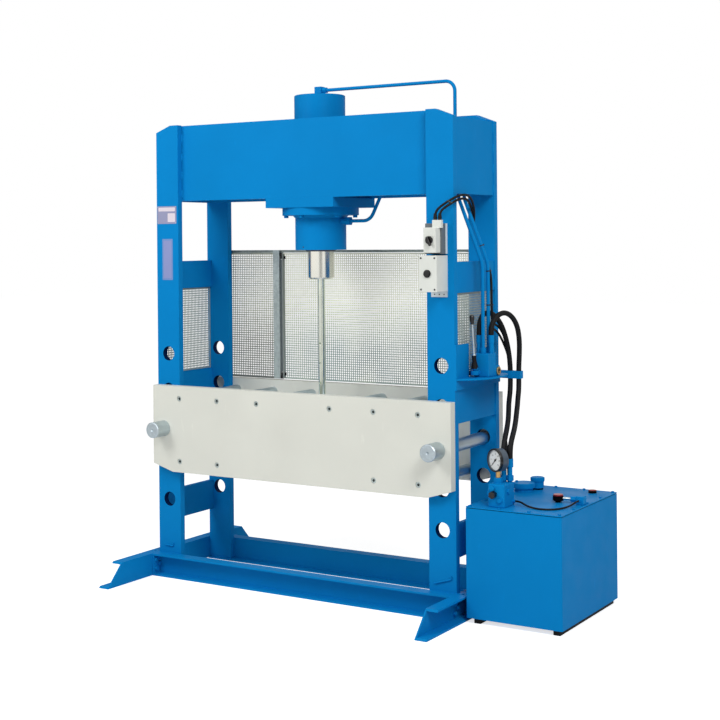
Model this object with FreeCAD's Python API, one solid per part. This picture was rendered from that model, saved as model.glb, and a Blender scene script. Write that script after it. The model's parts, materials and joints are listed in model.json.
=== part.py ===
"""Hydraulic workshop press: portal frame, cylinder, adjustable table and free-standing power unit.

Sizes are millimetres. The press is laid out about the cylinder axis: X along the beam, Y from front (-) to
rear (+), Z up from the floor. Valve, switches and power unit are laid out with X from the outer face of the
right uprights. The finished pieces are moved so that the origin lies at the centre of the footprint of the
press and its power unit, on the floor.
"""
import FreeCAD, Part
import math
import os
from FreeCAD import Vector as V

# ---- columns -------------------------------------------------------------------------------------------
OUTER_X = 925.0          # half the width over the uprights
UPRIGHT_W = 150.0        # width of an upright, along X
UPRIGHT_T = 35.0         # thickness of an upright, along Y
HALF_DEPTH = 242.0       # from the middle to the outer face of an upright
COLUMN_H = 2470.0
TOP_FLAT = 53.0          # level part of an upright's top
TOP_DROP = 37.0          # fall of the sloped part
HOLE_R = 39.0
HOLE_Z = 417.0           # lowest pin hole
HOLE_PITCH = 200.0
HOLE_ROWS = 5
FLOOR_GAP = 5.0          # under the uprights

WEB_T = 25.0
WEB_INSET = 5.0          # from the outer edge of the uprights
TOP_WEB_Z = (2055.0, 2430.0)
CROSS_WEBS_Z = ((1570.0, 1722.0), (935.0, 1100.0), (285.0, 450.0))

# ---- beam and cylinder ---------------------------------------------------------------------------------
BEAM_T = 30.0
BEAM_Z0 = 2055.0
BEAM_EDGE_GAP = 3.0      # beam's top edge below the uprights' slope
STIFFENER_X = 330.0
STIFFENER_T = 20.0
STIFFENER_MARGIN = 20.0

MOUNT_HALF = 212.0
MOUNT_H = 50.0

BARREL_R = 136.0
BORE_R = 115.0
BARREL_Z0 = 1782.0
BARREL_Z1 = 2603.0
CAP_T = 60.0
FLANGE_R = 204.0
FLANGE_T = 40.0
FLANGE_WELD = 14.0
FLANGE_BOLTS = 6
FLANGE_PCD_R = 184.0
FLANGE_BOLT_R = 8.0
RAM_R = 69.0
RAM_OUT = 154.0          # ram showing below the barrel
RAM_CHAMFER = 7.0
PISTON_H = 150.0
PISTON_TOP_GAP = 152.0   # above the piston, in the position shown
SLIDE_CLEAR = 0.05
SEAL_W = 12.0
SEAL_D = 9.0
HEAD_H = 100.0
WIPER_H = 8.0
WIPER_R = 84.0
LIFT_ROD_R = 18.5
LIFT_ROD_SEAT = 60.0     # in the ram
LIFT_ROD_Z0 = 925.0
LIFT_HOLE_R = 6.0
LIFT_HOLE_Z = 969.0
LIFT_HOLE_PITCH = 105.0
LIFT_HOLES = 4
SET_HOLE_R = 4.5         # small hole near the mouth of the barrel
SET_HOLE_Z = 1797.0
SET_HOLE_ANGLE = -100.4

# ---- base ----------------------------------------------------------------------------------------------
CHANNEL_H = 120.0
CHANNEL_WEB = 8.0
CHANNEL_FLANGE_T = 10.0
SILL_FLANGE = 65.0
FOOT_FLANGE = 65.0
FOOT_FRONT = 665.0       # from the middle to the foot's front tip
FOOT_REAR = 632.0
FOOT_SLANT = 114.0
CLEAT_T = 10.0
BASE_BOLT_R = 7.0
BASE_BOLT_HEAD = 20.0
ANCHOR_R = 9.0
ANCHOR_Y = 238.0

# ---- table ---------------------------------------------------------------------------------------------
TABLE_INSET = 1.0        # from the outer face of the uprights
TABLE_HALF = OUTER_X - TABLE_INSET
TABLE_Z = (577.0, 1045.0)
TABLE_T = 45.0
TABLE_CLEAR = 0.5        # between table plates and uprights
TABLE_CHAMFER = (134.0, 39.0)
PIN_ROW = 2
PIN_R = 32.5
SEAT_GAP = 0.3
PLATE_HOLE_R = 34.5
PIN_HEAD_R = 43.0
PIN_HEAD_L = 101.0
PIN_TAIL = 34.0          # behind the rear plate
PIN_CHAMFER = 4.0
SPACER_R = 28.0
SPACER_TOP_Z = 977.0
SPACER_LOW_Z = 636.0
SPACER_X = (228.0, 488.0, 742.0)
SCREW_R = 10.0
SCREW_HEAD_R = 14.0
SCREW_HEAD_H = 18.0
SCREW_SINK = 3.0
SCREW_DEPTH = 60.0
SCREW_PLAY = 1.0

# ---- guards --------------------------------------------------------------------------------------------
GUARD_Z = (1052.0, 1779.0)
GUARD_INSET = 125.0      # from the outer face of the uprights
GUARD_HALF = OUTER_X - GUARD_INSET
GUARD_D = 20.0
SHEET_T = 2.0
RAIL_H = 15.0
POST_X = (-484.0, -442.0)
HINGE_BLOCK = (16.0, 14.0, 18.0)
HINGE_OFFSET = 8.0       # hinge axis from the post
HINGE_PIN_R = 3.5
KNUCKLE_R = 7.0
DOOR_GAP = 3.0
DOOR_EDGE = 12.0         # door edge from the hinge axis
SIDE_GUARD_D = 15.0
GRID_RIM = 16.0          # plain edge around a grid of openings
GRID_SHARE = 0.7         # opening's share of its pitch
DOOR_COLUMNS = 12
FIXED_COLUMNS = 3
REAR_ROWS = 7
SIDE_COLUMNS = 4
SIDE_ROWS = 5

# ---- pipes and valve: X from the outer face of the right uprights ---------------------------------------
PIPE_R = 9.0
ELBOW_Z = 2630.0
ELBOW_R = 20.0
PIPE_DROP_X = -113.0
BEAM_RUN_X = (308.0, 400.0)    # from the cylinder axis, where the lower pipe turns up and along
BEAM_RUN_Y = (30.0, 60.0)
BEAM_RUN_END = -79.0
BEAM_RUN_Z = 2150.0
DROP_END_Z = 2140.0
SLANT_X = (-67.0, 63.0)        # both pipes slant outwards between these
SLANT_Z = (2040.0, 1710.0)
UPPER_BENDS = (52.0, 60.0, 90.0, 110.0)
LOWER_BENDS = (60.0, 60.0, 60.0, 50.0, 110.0)
PORT_Z = 1933.0
PORT_HEX = 42.0
RISER_Y = (-60.0, 0.0)         # upper pipe, lower pipe
NUT_R = 14.0
NUT_H = 26.0
BRACKET_T = 8.0
BRACKET_Z0 = 1100.0
SHELF_TOP = 1156.0
SHELF_EDGE = ((75.0, -190.0), (120.0, -115.0), (133.0, -50.0), (133.0, 60.0))
SHELF_REAR_X = 75.0
GUSSET_TOP = 1320.0
GUSSET_Y = -106.0
VALVE_X = (25.0, 105.0)
VALVE_Y = (-88.0, 40.0)
VALVE_LOW_H = 49.0       # height of the lower, longer part
VALVE_H = 114.0
VALVE_MID = SHELF_TOP + VALVE_LOW_H
VALVE_TOP = SHELF_TOP + VALVE_H
VALVE_STEP = 10.0
VALVE_CORNER = (20.0, 39.0)
VALVE_PLUG_R = 21.0
VALVE_PLUG_YZ = (18.0, SHELF_TOP + 23.0)
HOSE_PORTS = ((33.0, -42.0), (91.0, -27.0))
FITTING_R = 13.0
FITTING_H = 50.0
FERRULE_R = 15.0
FERRULE_H = 38.0
LEVER_X = 45.0
LEVER_Y = -118.0
LEVER_LEAN = 6.0         # degrees towards the operator at rest
PIVOT_Z = SHELF_TOP + 44.0
PIVOT_R = 14.0
PIVOT_PIN_R = 5.0
PIVOT_PIN_L = 32.0
PEDESTAL_R = 20.0
PEDESTAL_Z = (SHELF_TOP + 12.0, SHELF_TOP + 32.0)
BOOT_R = (18.0, 12.0, 11.0)
BOOT_Z = (PIVOT_Z, PIVOT_Z + 32.0, PIVOT_Z + 64.0)
COLLAR_R = 10.5
COLLAR_H = 8.0
LEVER_R = 6.0
LEVER_TOP = PIVOT_Z + 250.0
KNOB_Z = (PIVOT_Z + 218.0, PIVOT_Z + 263.0)
KNOB_R = (8.5, 13.0)
KNOB_CROWN = 8.0
HOSE_R = 13.0
CLAMP_Y = 190.0
CLAMP_Z = (1127.0, 1165.0)
CLAMP_D = 34.0
CLAMP_X = (90.0, 137.0)
CLAMP_END = 153.0
CLAMP_PLAY = 1.0

# ---- electrics: X from the outer face of the right uprights ----------------------------------------------
SWITCH_BASE = (-125.0, -34.0, 58.0, 1762.0, 1910.0)     # x0, x1, depth, z0, z1
SWITCH_BOX = (-108.0, -41.0, 50.0, 1768.0, 1890.0)
SWITCH_KNOB_Z = 1829.0
SWITCH_KNOB_R = 19.0
SPINDLE_R = 4.0
GLAND_BLOCK = (-75.0, -27.0, 20.0, 36.0)                # x0, x1, depth, height
CONTROL_BOX = (-132.0, -34.0, 112.0, 1580.0, 1755.0)
CONTROL_PLATE = (-124.0, -34.0, 4.0, 1552.0, 1584.0)
BOX_SCREW_R = 4.5
BOX_SCREW_INSET = 12.0
BUTTON_X = -85.0
BUTTON_Z = 1668.0
BUTTON_R = 15.0
BUTTON_OUT = 10.0
BUTTON_TRAVEL = 4.0
BUTTON_WELL = 14.0
BEZEL_R = 19.0
BEZEL_H = 6.0
CABLE_R = 6.0
GLAND_H = 8.0
GLAND_X = (-63.0, -38.0)
LID_GLANDS = ((212.0, -96.0), (185.0, -76.0))
LID_GLAND_H = 34.0

# ---- power unit: X from the outer face of the right uprights ----------------------------------------------
TANK_X = (75.0, 570.0)
TANK_Y = (-290.0, 410.0)
TANK_Z0 = 25.0
TANK_WALL = 4.0
LID_T = 8.0
LID_TOP = 556.0
GASKET = 3.0             # height and depth of the groove under the lid
RUNNER_X = (127.0, 535.0)
RUNNER_W = 34.0
RUNNER_INSET = 16.0
LID_BOLT_INSET = 17.0
LID_BOLT_R = 4.0
MANIFOLD_X = (175.0, 260.0)
MANIFOLD_Y = (-245.0, -133.0)
MANIFOLD_TOP = 665.0
ADAPTER_HEX = 38.0
ADAPTER_TOP = 690.0
CARTRIDGE_R = 13.0
CARTRIDGE_XZ = (197.0, 647.0)
SIDE_DISC_R = 22.0
SIDE_DISC_YZ = (-209.0, 618.0)
PLUG_HEX = 22.0
FRONT_PLUG_XZ = (235.0, 590.0)
SIDE_PLUG_YZ = (-205.0, 630.0)
UNION_R = 7.5
UNION_L = 12.0
GAUGE_XY = (203.5, -192.0)
GAUGE_Z = 774.0
GAUGE_R = 55.0
GAUGE_D = 48.0
GAUGE_TURN = 27.0        # degrees the dial is turned towards the operator
DIAL_R = 49.0
DIAL_SINK = 8.0
STEM_R = 12.0
ARBOR_R = 3.0
HOSE_ENDS = ((211.0, -149.0), (244.0, -144.0))
END_Z = 737.0
END_FERRULE_H = 40.0
SETTER_X = 205.0
SETTER_Z = 617.0
SETTER_R = 17.0
SETTER_L = 26.0
SETTER_SPINDLE = (6.0, 16.0)   # radius, length
FLUTE_COUNT = 6
FLUTE_R = 3.5
MOTOR_XY = (365.0, 40.0)
MOTOR_R = 90.0
MOTOR_H = 240.0
MOTOR_FLANGE = (110.0, 14.0)   # radius, thickness
RIB_COUNT = 8
RIB_PITCH = 24.0
RIB_D = 7.0
PUMP_R = 52.0
PUMP_H = 80.0
PUMP_FLANGE = 26.0
PUMP_HALF = (44.0, 34.0)
STRAINER_R = 36.0
STRAINER_H = 70.0
STRAINER_NECK = (14.0, 24.0)   # radius, length
FILTER_XY = (149.0, 212.0)
FILTER_R = 56.0
FILTER_BODY = (46.0, 19.0)     # radius, height
FILTER_H = 44.0
FILTER_SCREW = (7.0, 7.0)      # radius, height
BOWL_R = 44.0
BOWL_H = 210.0
BREATHER_XY = (186.0, 298.0)
BREATHER_R = (29.0, 32.0, 35.0)
BREATHER_H = (8.0, 40.0, 62.0)
CAP_XY = (471.0, 329.0)
CAP_R = 21.0
CAP_H = 14.0
RELIEF_XY = (537.0, 22.0)
RELIEF_BLOCK = 40.0
RELIEF_Z = 578.0
RELIEF_NUT = (27.0, 30.0)      # across flats, length
RELIEF_STEM_R = 7.0
SENSOR_X = 419.0               # round housing at the end of the relief valve's stem
SENSOR_R = 26.5
SENSOR_FOOT_R = 14.0
SENSOR_Z = (566.0, 588.0)
SENSOR_CAP_R = 24.0
SENSOR_CAP_TOP = 595.0
SPIGOT = (9.0, 10.0)           # radius, length, of the cap in its housing
PILOT_R = 4.5

# ---- worked out ----------------------------------------------------------------------------------------
INNER_X = OUTER_X - UPRIGHT_W
HOLE_X = OUTER_X - UPRIGHT_W / 2
INNER_Y = HALF_DEPTH - UPRIGHT_T
WEB_INNER_X = OUTER_X - WEB_INSET - WEB_T
BEAM_TOP = COLUMN_H - BEAM_EDGE_GAP
BEAM_Y0 = INNER_Y - BEAM_T
MOUNT_Z0 = BEAM_Z0 - MOUNT_H
BORE_TOP = BARREL_Z1 - CAP_T
RAM_Z0 = BARREL_Z0 - RAM_OUT
PISTON_Z1 = BORE_TOP - PISTON_TOP_GAP
PISTON_Z0 = PISTON_Z1 - PISTON_H
TABLE_Y0 = HALF_DEPTH + TABLE_CLEAR
TABLE_Y1 = TABLE_Y0 + TABLE_T
PIN_HOLE_Z = HOLE_Z + PIN_ROW * HOLE_PITCH
PIN_Z = PIN_HOLE_Z - HOLE_R + SEAT_GAP + PIN_R
PLATE_HOLE_Z = PIN_Z + PIN_R + SEAT_GAP - PLATE_HOLE_R
GUARD_Y1 = HALF_DEPTH + GUARD_D
HINGE_X = POST_X[1] + HINGE_OFFSET
HINGE_Y = GUARD_Y1 - HINGE_BLOCK[1] / 2
RAIL_Z = GUARD_Z[1] - RAIL_H
VALVE_Z = VALVE_TOP + NUT_H
LID_Z = LID_TOP - LID_T
FOOT_OUT = OUTER_X + FOOT_FLANGE
CENTRE_X = (OUTER_X + TANK_X[1] - FOOT_OUT) / 2
CENTRE_Y = (FOOT_REAR - FOOT_FRONT) / 2

X_AXIS, Y_AXIS, Z_AXIS = V(1, 0, 0), V(0, 1, 0), V(0, 0, 1)


# ---- shape helpers -------------------------------------------------------------------------------------
def box(x, y, z):
    """Box from three (low, high) pairs."""
    return Part.makeBox(x[1] - x[0], y[1] - y[0], z[1] - z[0], V(x[0], y[0], z[0]))


def cyl(radius, start, axis, length):
    """Cylinder from a start point along an axis."""
    return Part.makeCylinder(radius, length, V(*start), axis)


def ring(outer, inner, start, axis, length):
    """Plain ring."""
    return cyl(outer, start, axis, length).cut(cyl(inner, start, axis, length))


def cone(r0, r1, start, axis, length):
    """Truncated cone."""
    return Part.makeCone(r0, r1, length, V(*start), axis)


def prism(points, along):
    """Flat outline of (x, y, z) points pushed along a vector."""
    corners = [V(*p) for p in points]
    return Part.Face(Part.makePolygon(corners + corners[:1])).extrude(along)


def hexagon(across, start, axis, height):
    """Hexagonal prism standing on start."""
    radius = across / math.sqrt(3)
    ref = Z_AXIS if abs(axis.z) < 0.5 else X_AXIS
    side = axis.cross(ref)
    side.normalize()
    up = side.cross(axis)
    centre = V(*start)
    corners = []
    for k in range(6):
        angle = math.radians(60 * k)
        corners.append(centre + side * (radius * math.cos(angle)) + up * (radius * math.sin(angle)))
    return Part.Face(Part.makePolygon(corners + corners[:1])).extrude(axis * height)


def mirror_x(shape):
    """Copy mirrored to the other side of the press."""
    return shape.mirror(V(0, 0, 0), X_AXIS)


def mirror_y(shape):
    """Copy mirrored from front to rear."""
    return shape.mirror(V(0, 0, 0), Y_AXIS)


def beside(shape):
    """Copy moved to the outer face of the right uprights."""
    return shape.translated(V(OUTER_X, 0, 0))


def spans(low, high, count):
    """Equally spaced openings along one direction."""
    pitch = (high - low) / count
    half = pitch * GRID_SHARE / 2
    middles = [low + (k + 0.5) * pitch for k in range(count)]
    return [(m - half, m + half) for m in middles]


def group(shapes):
    """Separate solids kept in one piece list."""
    return Part.makeCompound(shapes)


def route(points, radii):
    """Wire of straight runs joined by tangent arcs; radii has one value for each inner point."""
    pts = [V(*p) for p in points]
    edges = []
    last = pts[0]
    for k in range(1, len(pts) - 1):
        back = (pts[k - 1] - pts[k]).normalize()
        ahead = (pts[k + 1] - pts[k]).normalize()
        half_turn = (math.pi - back.getAngle(ahead)) / 2
        reach = radii[k - 1] * math.tan(half_turn)
        start = pts[k] + back * reach
        end = pts[k] + ahead * reach
        middle = (back + ahead).normalize()
        centre = pts[k] + middle * (radii[k - 1] / math.cos(half_turn))
        through = centre - middle * radii[k - 1]
        if (start - last).Length > 1e-6:
            edges.append(Part.LineSegment(last, start).toShape())
        edges.append(Part.Arc(start, through, end).toShape())
        last = end
    edges.append(Part.LineSegment(last, pts[-1]).toShape())
    return Part.Wire(edges)


def swept(wire, radius):
    """Round bar along a wire, with a check of its volume."""
    start = wire.Edges[0].valueAt(wire.Edges[0].FirstParameter)
    tangent = wire.Edges[0].tangentAt(wire.Edges[0].FirstParameter)
    profile = Part.Wire(Part.makeCircle(radius, start, tangent))
    solid = wire.makePipeShell([profile], True, False)
    expected = math.pi * radius ** 2 * wire.Length
    if abs(solid.Volume / expected - 1) > 0.01:
        raise ValueError("a pipe's volume is off its section times its length")
    return solid


def pipe(points, radii, radius=PIPE_R):
    """Rigid pipe bent to the given radii."""
    return swept(route(points, radii), radius)


def cord(name, points, radius):
    """Flexible hose or cable: each arc is as large as its two runs allow."""
    pts = [V(*p) for p in points]
    radii = []
    for k in range(1, len(pts) - 1):
        before = pts[k - 1] - pts[k]
        after = pts[k + 1] - pts[k]
        half_turn = (math.pi - before.getAngle(after)) / 2
        radii.append(0.45 * min(before.Length, after.Length) / math.tan(half_turn))
    wire = route(points, radii)
    print("%s: length %.0f, radii in diameters %s" % (
        name, wire.Length, " ".join("%.1f" % (r / (2 * radius)) for r in radii)))
    return swept(wire, radius)


# ---- frame ---------------------------------------------------------------------------------------------
def upright():
    """Front right upright: flat bar with a sloped outer top corner and a row of pin holes."""
    y0 = -HALF_DEPTH
    outline = [(INNER_X, y0, FLOOR_GAP), (OUTER_X, y0, FLOOR_GAP), (OUTER_X, y0, COLUMN_H - TOP_DROP),
               (INNER_X + TOP_FLAT, y0, COLUMN_H), (INNER_X, y0, COLUMN_H)]
    bar = prism(outline, Y_AXIS * UPRIGHT_T)
    holes = [cyl(HOLE_R, (HOLE_X, y0, HOLE_Z + k * HOLE_PITCH), Y_AXIS, UPRIGHT_T) for k in range(HOLE_ROWS)]
    return bar.cut(holes)


def side_webs():
    """Plates that tie the two right uprights, and the stiffener of that half of the beam."""
    x = (WEB_INNER_X, OUTER_X - WEB_INSET)
    y = (-INNER_Y, INNER_Y)
    plates = [box(x, y, TOP_WEB_Z)]
    plates += [box(x, y, z) for z in CROSS_WEBS_Z]
    plates.append(box((STIFFENER_X, STIFFENER_X + STIFFENER_T), (-BEAM_Y0, BEAM_Y0),
                      (BEAM_Z0 + STIFFENER_MARGIN, BEAM_TOP - STIFFENER_MARGIN)))
    return plates


def beam_plate():
    """Front beam plate, behind the uprights, with top corners that follow their slope."""
    y0 = -INNER_Y
    bend = INNER_X + TOP_FLAT
    fall = TOP_DROP * (WEB_INNER_X - bend) / (UPRIGHT_W - TOP_FLAT)
    outline = [(-WEB_INNER_X, y0, BEAM_Z0), (WEB_INNER_X, y0, BEAM_Z0), (WEB_INNER_X, y0, BEAM_TOP - fall),
               (bend, y0, BEAM_TOP), (-bend, y0, BEAM_TOP), (-WEB_INNER_X, y0, BEAM_TOP - fall)]
    return prism(outline, Y_AXIS * BEAM_T)


def flange_bolt_places():
    """Angles of the flange bolts, in degrees, clear of the side port."""
    step = 360.0 / FLANGE_BOLTS
    return [step * (k + 0.5) for k in range(FLANGE_BOLTS)]


def on_flange(angle):
    """Point of the bolt circle, in X and Y."""
    return (FLANGE_PCD_R * math.cos(math.radians(angle)), FLANGE_PCD_R * math.sin(math.radians(angle)))


def cylinder_mount():
    """Thick plate under the beam, bored for the barrel and tapped for the flange bolts."""
    block = box((-MOUNT_HALF, MOUNT_HALF), (-INNER_Y, INNER_Y), (MOUNT_Z0, BEAM_Z0))
    cuts = [cyl(BARREL_R, (0, 0, MOUNT_Z0), Z_AXIS, MOUNT_H)]
    for angle in flange_bolt_places():
        x, y = on_flange(angle)
        cuts.append(cyl(FLANGE_BOLT_R, (x, y, MOUNT_Z0), Z_AXIS, MOUNT_H))
    return block.cut(cuts)


def cylinder_barrel():
    """Barrel with welded mounting flange, closed top, and a side port for the return pipe."""
    flange_z0 = MOUNT_Z0 - FLANGE_T
    body = cyl(BARREL_R, (0, 0, BARREL_Z0), Z_AXIS, BARREL_Z1 - BARREL_Z0)
    flange = cyl(FLANGE_R, (0, 0, flange_z0), Z_AXIS, FLANGE_T)
    weld = cone(BARREL_R, BARREL_R + FLANGE_WELD, (0, 0, flange_z0 - FLANGE_WELD), Z_AXIS, FLANGE_WELD)
    body = body.fuse([flange, weld]).removeSplitter()
    rim = [e for e in body.Edges if abs(e.BoundBox.ZMin - BARREL_Z1) < 0.01 and e.BoundBox.XLength > BARREL_R]
    body = body.makeChamfer(4.0, rim)
    cuts = [cyl(BORE_R, (0, 0, BARREL_Z0), Z_AXIS, BORE_TOP - BARREL_Z0),
            cyl(PIPE_R, (0, 0, BORE_TOP), Z_AXIS, CAP_T),
            cyl(PIPE_R, (BORE_R - 5, 0, PORT_Z), X_AXIS, BARREL_R - BORE_R + 5)]
    turn = math.radians(SET_HOLE_ANGLE)
    out = V(math.cos(turn), math.sin(turn), 0)
    cuts.append(cyl(SET_HOLE_R, (out.x * BORE_R, out.y * BORE_R, SET_HOLE_Z), out, BARREL_R - BORE_R + 1))
    for angle in flange_bolt_places():
        x, y = on_flange(angle)
        cuts.append(cyl(FLANGE_BOLT_R + 1, (x, y, flange_z0), Z_AXIS, FLANGE_T))
    return body.cut(cuts)


def cylinder_head():
    """Guide bush in the mouth of the barrel, with its wiper lip below."""
    bush = cyl(BORE_R, (0, 0, BARREL_Z0), Z_AXIS, HEAD_H)
    lip = cone(WIPER_R - WIPER_H, WIPER_R, (0, 0, BARREL_Z0 - WIPER_H), Z_AXIS, WIPER_H)
    bore = cyl(RAM_R + SLIDE_CLEAR, (0, 0, BARREL_Z0 - WIPER_H), Z_AXIS, HEAD_H + WIPER_H)
    return bush.fuse(lip).cut(bore)


def ram():
    """Ram and piston in one piece, with the seal groove and the seat of the lifting rod."""
    rod = cyl(RAM_R, (0, 0, RAM_Z0 + RAM_CHAMFER), Z_AXIS, PISTON_Z0 - RAM_Z0 - RAM_CHAMFER)
    nose = cone(RAM_R - RAM_CHAMFER, RAM_R, (0, 0, RAM_Z0), Z_AXIS, RAM_CHAMFER)
    piston = cyl(BORE_R - SLIDE_CLEAR, (0, 0, PISTON_Z0), Z_AXIS, PISTON_H)
    body = rod.fuse([nose, piston])
    groove = ring(BORE_R, BORE_R - SEAL_D, (0, 0, (PISTON_Z0 + PISTON_Z1 - SEAL_W) / 2), Z_AXIS, SEAL_W)
    seat = cyl(LIFT_ROD_R, (0, 0, RAM_Z0), Z_AXIS, LIFT_ROD_SEAT)
    return body.cut([groove, seat])


def piston_seal():
    """Seal ring in the piston's groove."""
    return ring(BORE_R - SLIDE_CLEAR, BORE_R - SEAL_D, (0, 0, (PISTON_Z0 + PISTON_Z1 - SEAL_W) / 2),
                Z_AXIS, SEAL_W)


def lifting_rod():
    """Thin rod under the ram, cross-drilled for the pin that lifts the table."""
    rod = cyl(LIFT_ROD_R, (0, 0, LIFT_ROD_Z0), Z_AXIS, RAM_Z0 + LIFT_ROD_SEAT - LIFT_ROD_Z0)
    holes = []
    for k in range(LIFT_HOLES):
        start = (0, -LIFT_ROD_R - 1, LIFT_HOLE_Z + k * LIFT_HOLE_PITCH)
        holes.append(cyl(LIFT_HOLE_R, start, Y_AXIS, 2 * LIFT_ROD_R + 2))
    return rod.cut(holes)


def flange_bolts():
    """Socket screws that hold the barrel flange up against the mount."""
    flange_z0 = MOUNT_Z0 - FLANGE_T
    screws = []
    for angle in flange_bolt_places():
        x, y = on_flange(angle)
        head = cyl(FLANGE_BOLT_R * 1.5, (x, y, flange_z0 - FLANGE_BOLT_R * 1.6), Z_AXIS, FLANGE_BOLT_R * 1.6)
        shank = cyl(FLANGE_BOLT_R, (x, y, flange_z0), Z_AXIS, FLANGE_T + MOUNT_H - 5)
        screws.append(head.fuse(shank))
    return group(screws)


# ---- base ----------------------------------------------------------------------------------------------
def sill_bolt_places():
    """Y and Z of the bolts that hold the front sill's end to a foot."""
    y0 = -HALF_DEPTH - SILL_FLANGE
    return [(y0 + share * SILL_FLANGE, z * CHANNEL_H) for share, z in ((0.3, 0.3), (0.3, 0.7), (0.7, 0.5))]


def front_sill():
    """Channel along the front, open to the front, with a bolted cleat at each end."""
    y0 = -HALF_DEPTH - SILL_FLANGE
    body = box((-OUTER_X, OUTER_X), (y0, -HALF_DEPTH), (0, CHANNEL_H))
    hollow = box((CLEAT_T - OUTER_X, OUTER_X - CLEAT_T), (y0, -HALF_DEPTH - CHANNEL_WEB),
                 (CHANNEL_FLANGE_T, CHANNEL_H - CHANNEL_FLANGE_T))
    cuts = [hollow]
    for y, z in sill_bolt_places():
        cuts.append(cyl(BASE_BOLT_R + 0.5, (-OUTER_X, y, z), X_AXIS, 2 * OUTER_X))
    return body.cut(cuts)


def foot():
    """Right foot: channel with its web inwards, flanges outwards and slanted ends."""
    front, rear = -FOOT_FRONT, FOOT_REAR
    outline = [(OUTER_X, front, 0), (OUTER_X, rear, 0), (OUTER_X, rear - FOOT_SLANT, CHANNEL_H),
               (OUTER_X, front + FOOT_SLANT, CHANNEL_H)]
    body = prism(outline, X_AXIS * FOOT_FLANGE)
    cuts = [box((OUTER_X + CHANNEL_WEB, FOOT_OUT), (front, rear),
                (CHANNEL_FLANGE_T, CHANNEL_H - CHANNEL_FLANGE_T))]
    for side in (-1, 1):
        for y, z in sill_bolt_places():
            cuts.append(cyl(BASE_BOLT_R + 0.5, (OUTER_X, -side * y, z), X_AXIS, CHANNEL_WEB))
        cuts.append(cyl(ANCHOR_R, (OUTER_X + FOOT_FLANGE / 2, side * ANCHOR_Y, 0), Z_AXIS, CHANNEL_H))
    return body.cut(cuts)


def base_bolts():
    """Bolts through the sill cleats and foot webs, with their nuts."""
    right = []
    for y, z in sill_bolt_places():
        inner = OUTER_X - CLEAT_T
        outer = OUTER_X + CHANNEL_WEB
        head = hexagon(BASE_BOLT_HEAD, (inner - 10, y, z), X_AXIS, 10)
        shank = cyl(BASE_BOLT_R, (inner, y, z), X_AXIS, outer - inner + 16)
        nut = hexagon(BASE_BOLT_HEAD, (outer, y, z), X_AXIS, 12)
        right.append(head.fuse([shank, nut]))
    front = right + [mirror_x(b) for b in right]
    return group(front + [mirror_y(b) for b in front])


# ---- table ---------------------------------------------------------------------------------------------
def spacer_places():
    """X and Z of the bars between the table plates: three pairs above, two pairs below."""
    top = [(x, SPACER_TOP_Z) for x in SPACER_X]
    low = [(x, SPACER_LOW_Z) for x in SPACER_X[1:]]
    right = top + low
    return right + [(-x, z) for x, z in right]


def table_plate():
    """Front table plate with pin holes and counterbored screw holes."""
    run, rise = TABLE_CHAMFER
    y0 = -TABLE_Y1
    low, high = TABLE_Z
    outline = [(run - TABLE_HALF, y0, low), (TABLE_HALF - run, y0, low), (TABLE_HALF, y0, low + rise),
               (TABLE_HALF, y0, high), (-TABLE_HALF, y0, high), (-TABLE_HALF, y0, low + rise)]
    plate = prism(outline, Y_AXIS * TABLE_T)
    cuts = [cyl(PLATE_HOLE_R, (side * HOLE_X, y0, PLATE_HOLE_Z), Y_AXIS, TABLE_T) for side in (-1, 1)]
    for x, z in spacer_places():
        cuts.append(cyl(SCREW_HEAD_R + SCREW_PLAY, (x, y0, z), Y_AXIS, SCREW_SINK + SCREW_HEAD_H))
        cuts.append(cyl(SCREW_R + SCREW_PLAY, (x, y0, z), Y_AXIS, TABLE_T))
    return plate.cut(cuts)


def table_spacers():
    """Round bars between the table plates, tapped at both ends."""
    bars = []
    for x, z in spacer_places():
        bar = cyl(SPACER_R, (x, -TABLE_Y0, z), Y_AXIS, 2 * TABLE_Y0)
        bars.append(bar.cut([cyl(SCREW_R, (x, -TABLE_Y0, z), Y_AXIS, SCREW_DEPTH),
                             cyl(SCREW_R, (x, TABLE_Y0 - SCREW_DEPTH, z), Y_AXIS, SCREW_DEPTH)]))
    return group(bars)


def table_screws():
    """Socket screws sunk into the table plates."""
    seat = TABLE_Y1 - SCREW_SINK - SCREW_HEAD_H
    front = []
    for x, z in spacer_places():
        head = cyl(SCREW_HEAD_R, (x, -seat - SCREW_HEAD_H, z), Y_AXIS, SCREW_HEAD_H)
        socket = hexagon(SCREW_R * 1.4, (x, -seat - SCREW_HEAD_H, z), Y_AXIS, SCREW_HEAD_H / 2)
        shank = cyl(SCREW_R, (x, -seat, z), Y_AXIS, seat - TABLE_Y0 + SCREW_DEPTH - 5)
        front.append(head.cut(socket).fuse(shank))
    return group(front + [mirror_y(s) for s in front])


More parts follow.
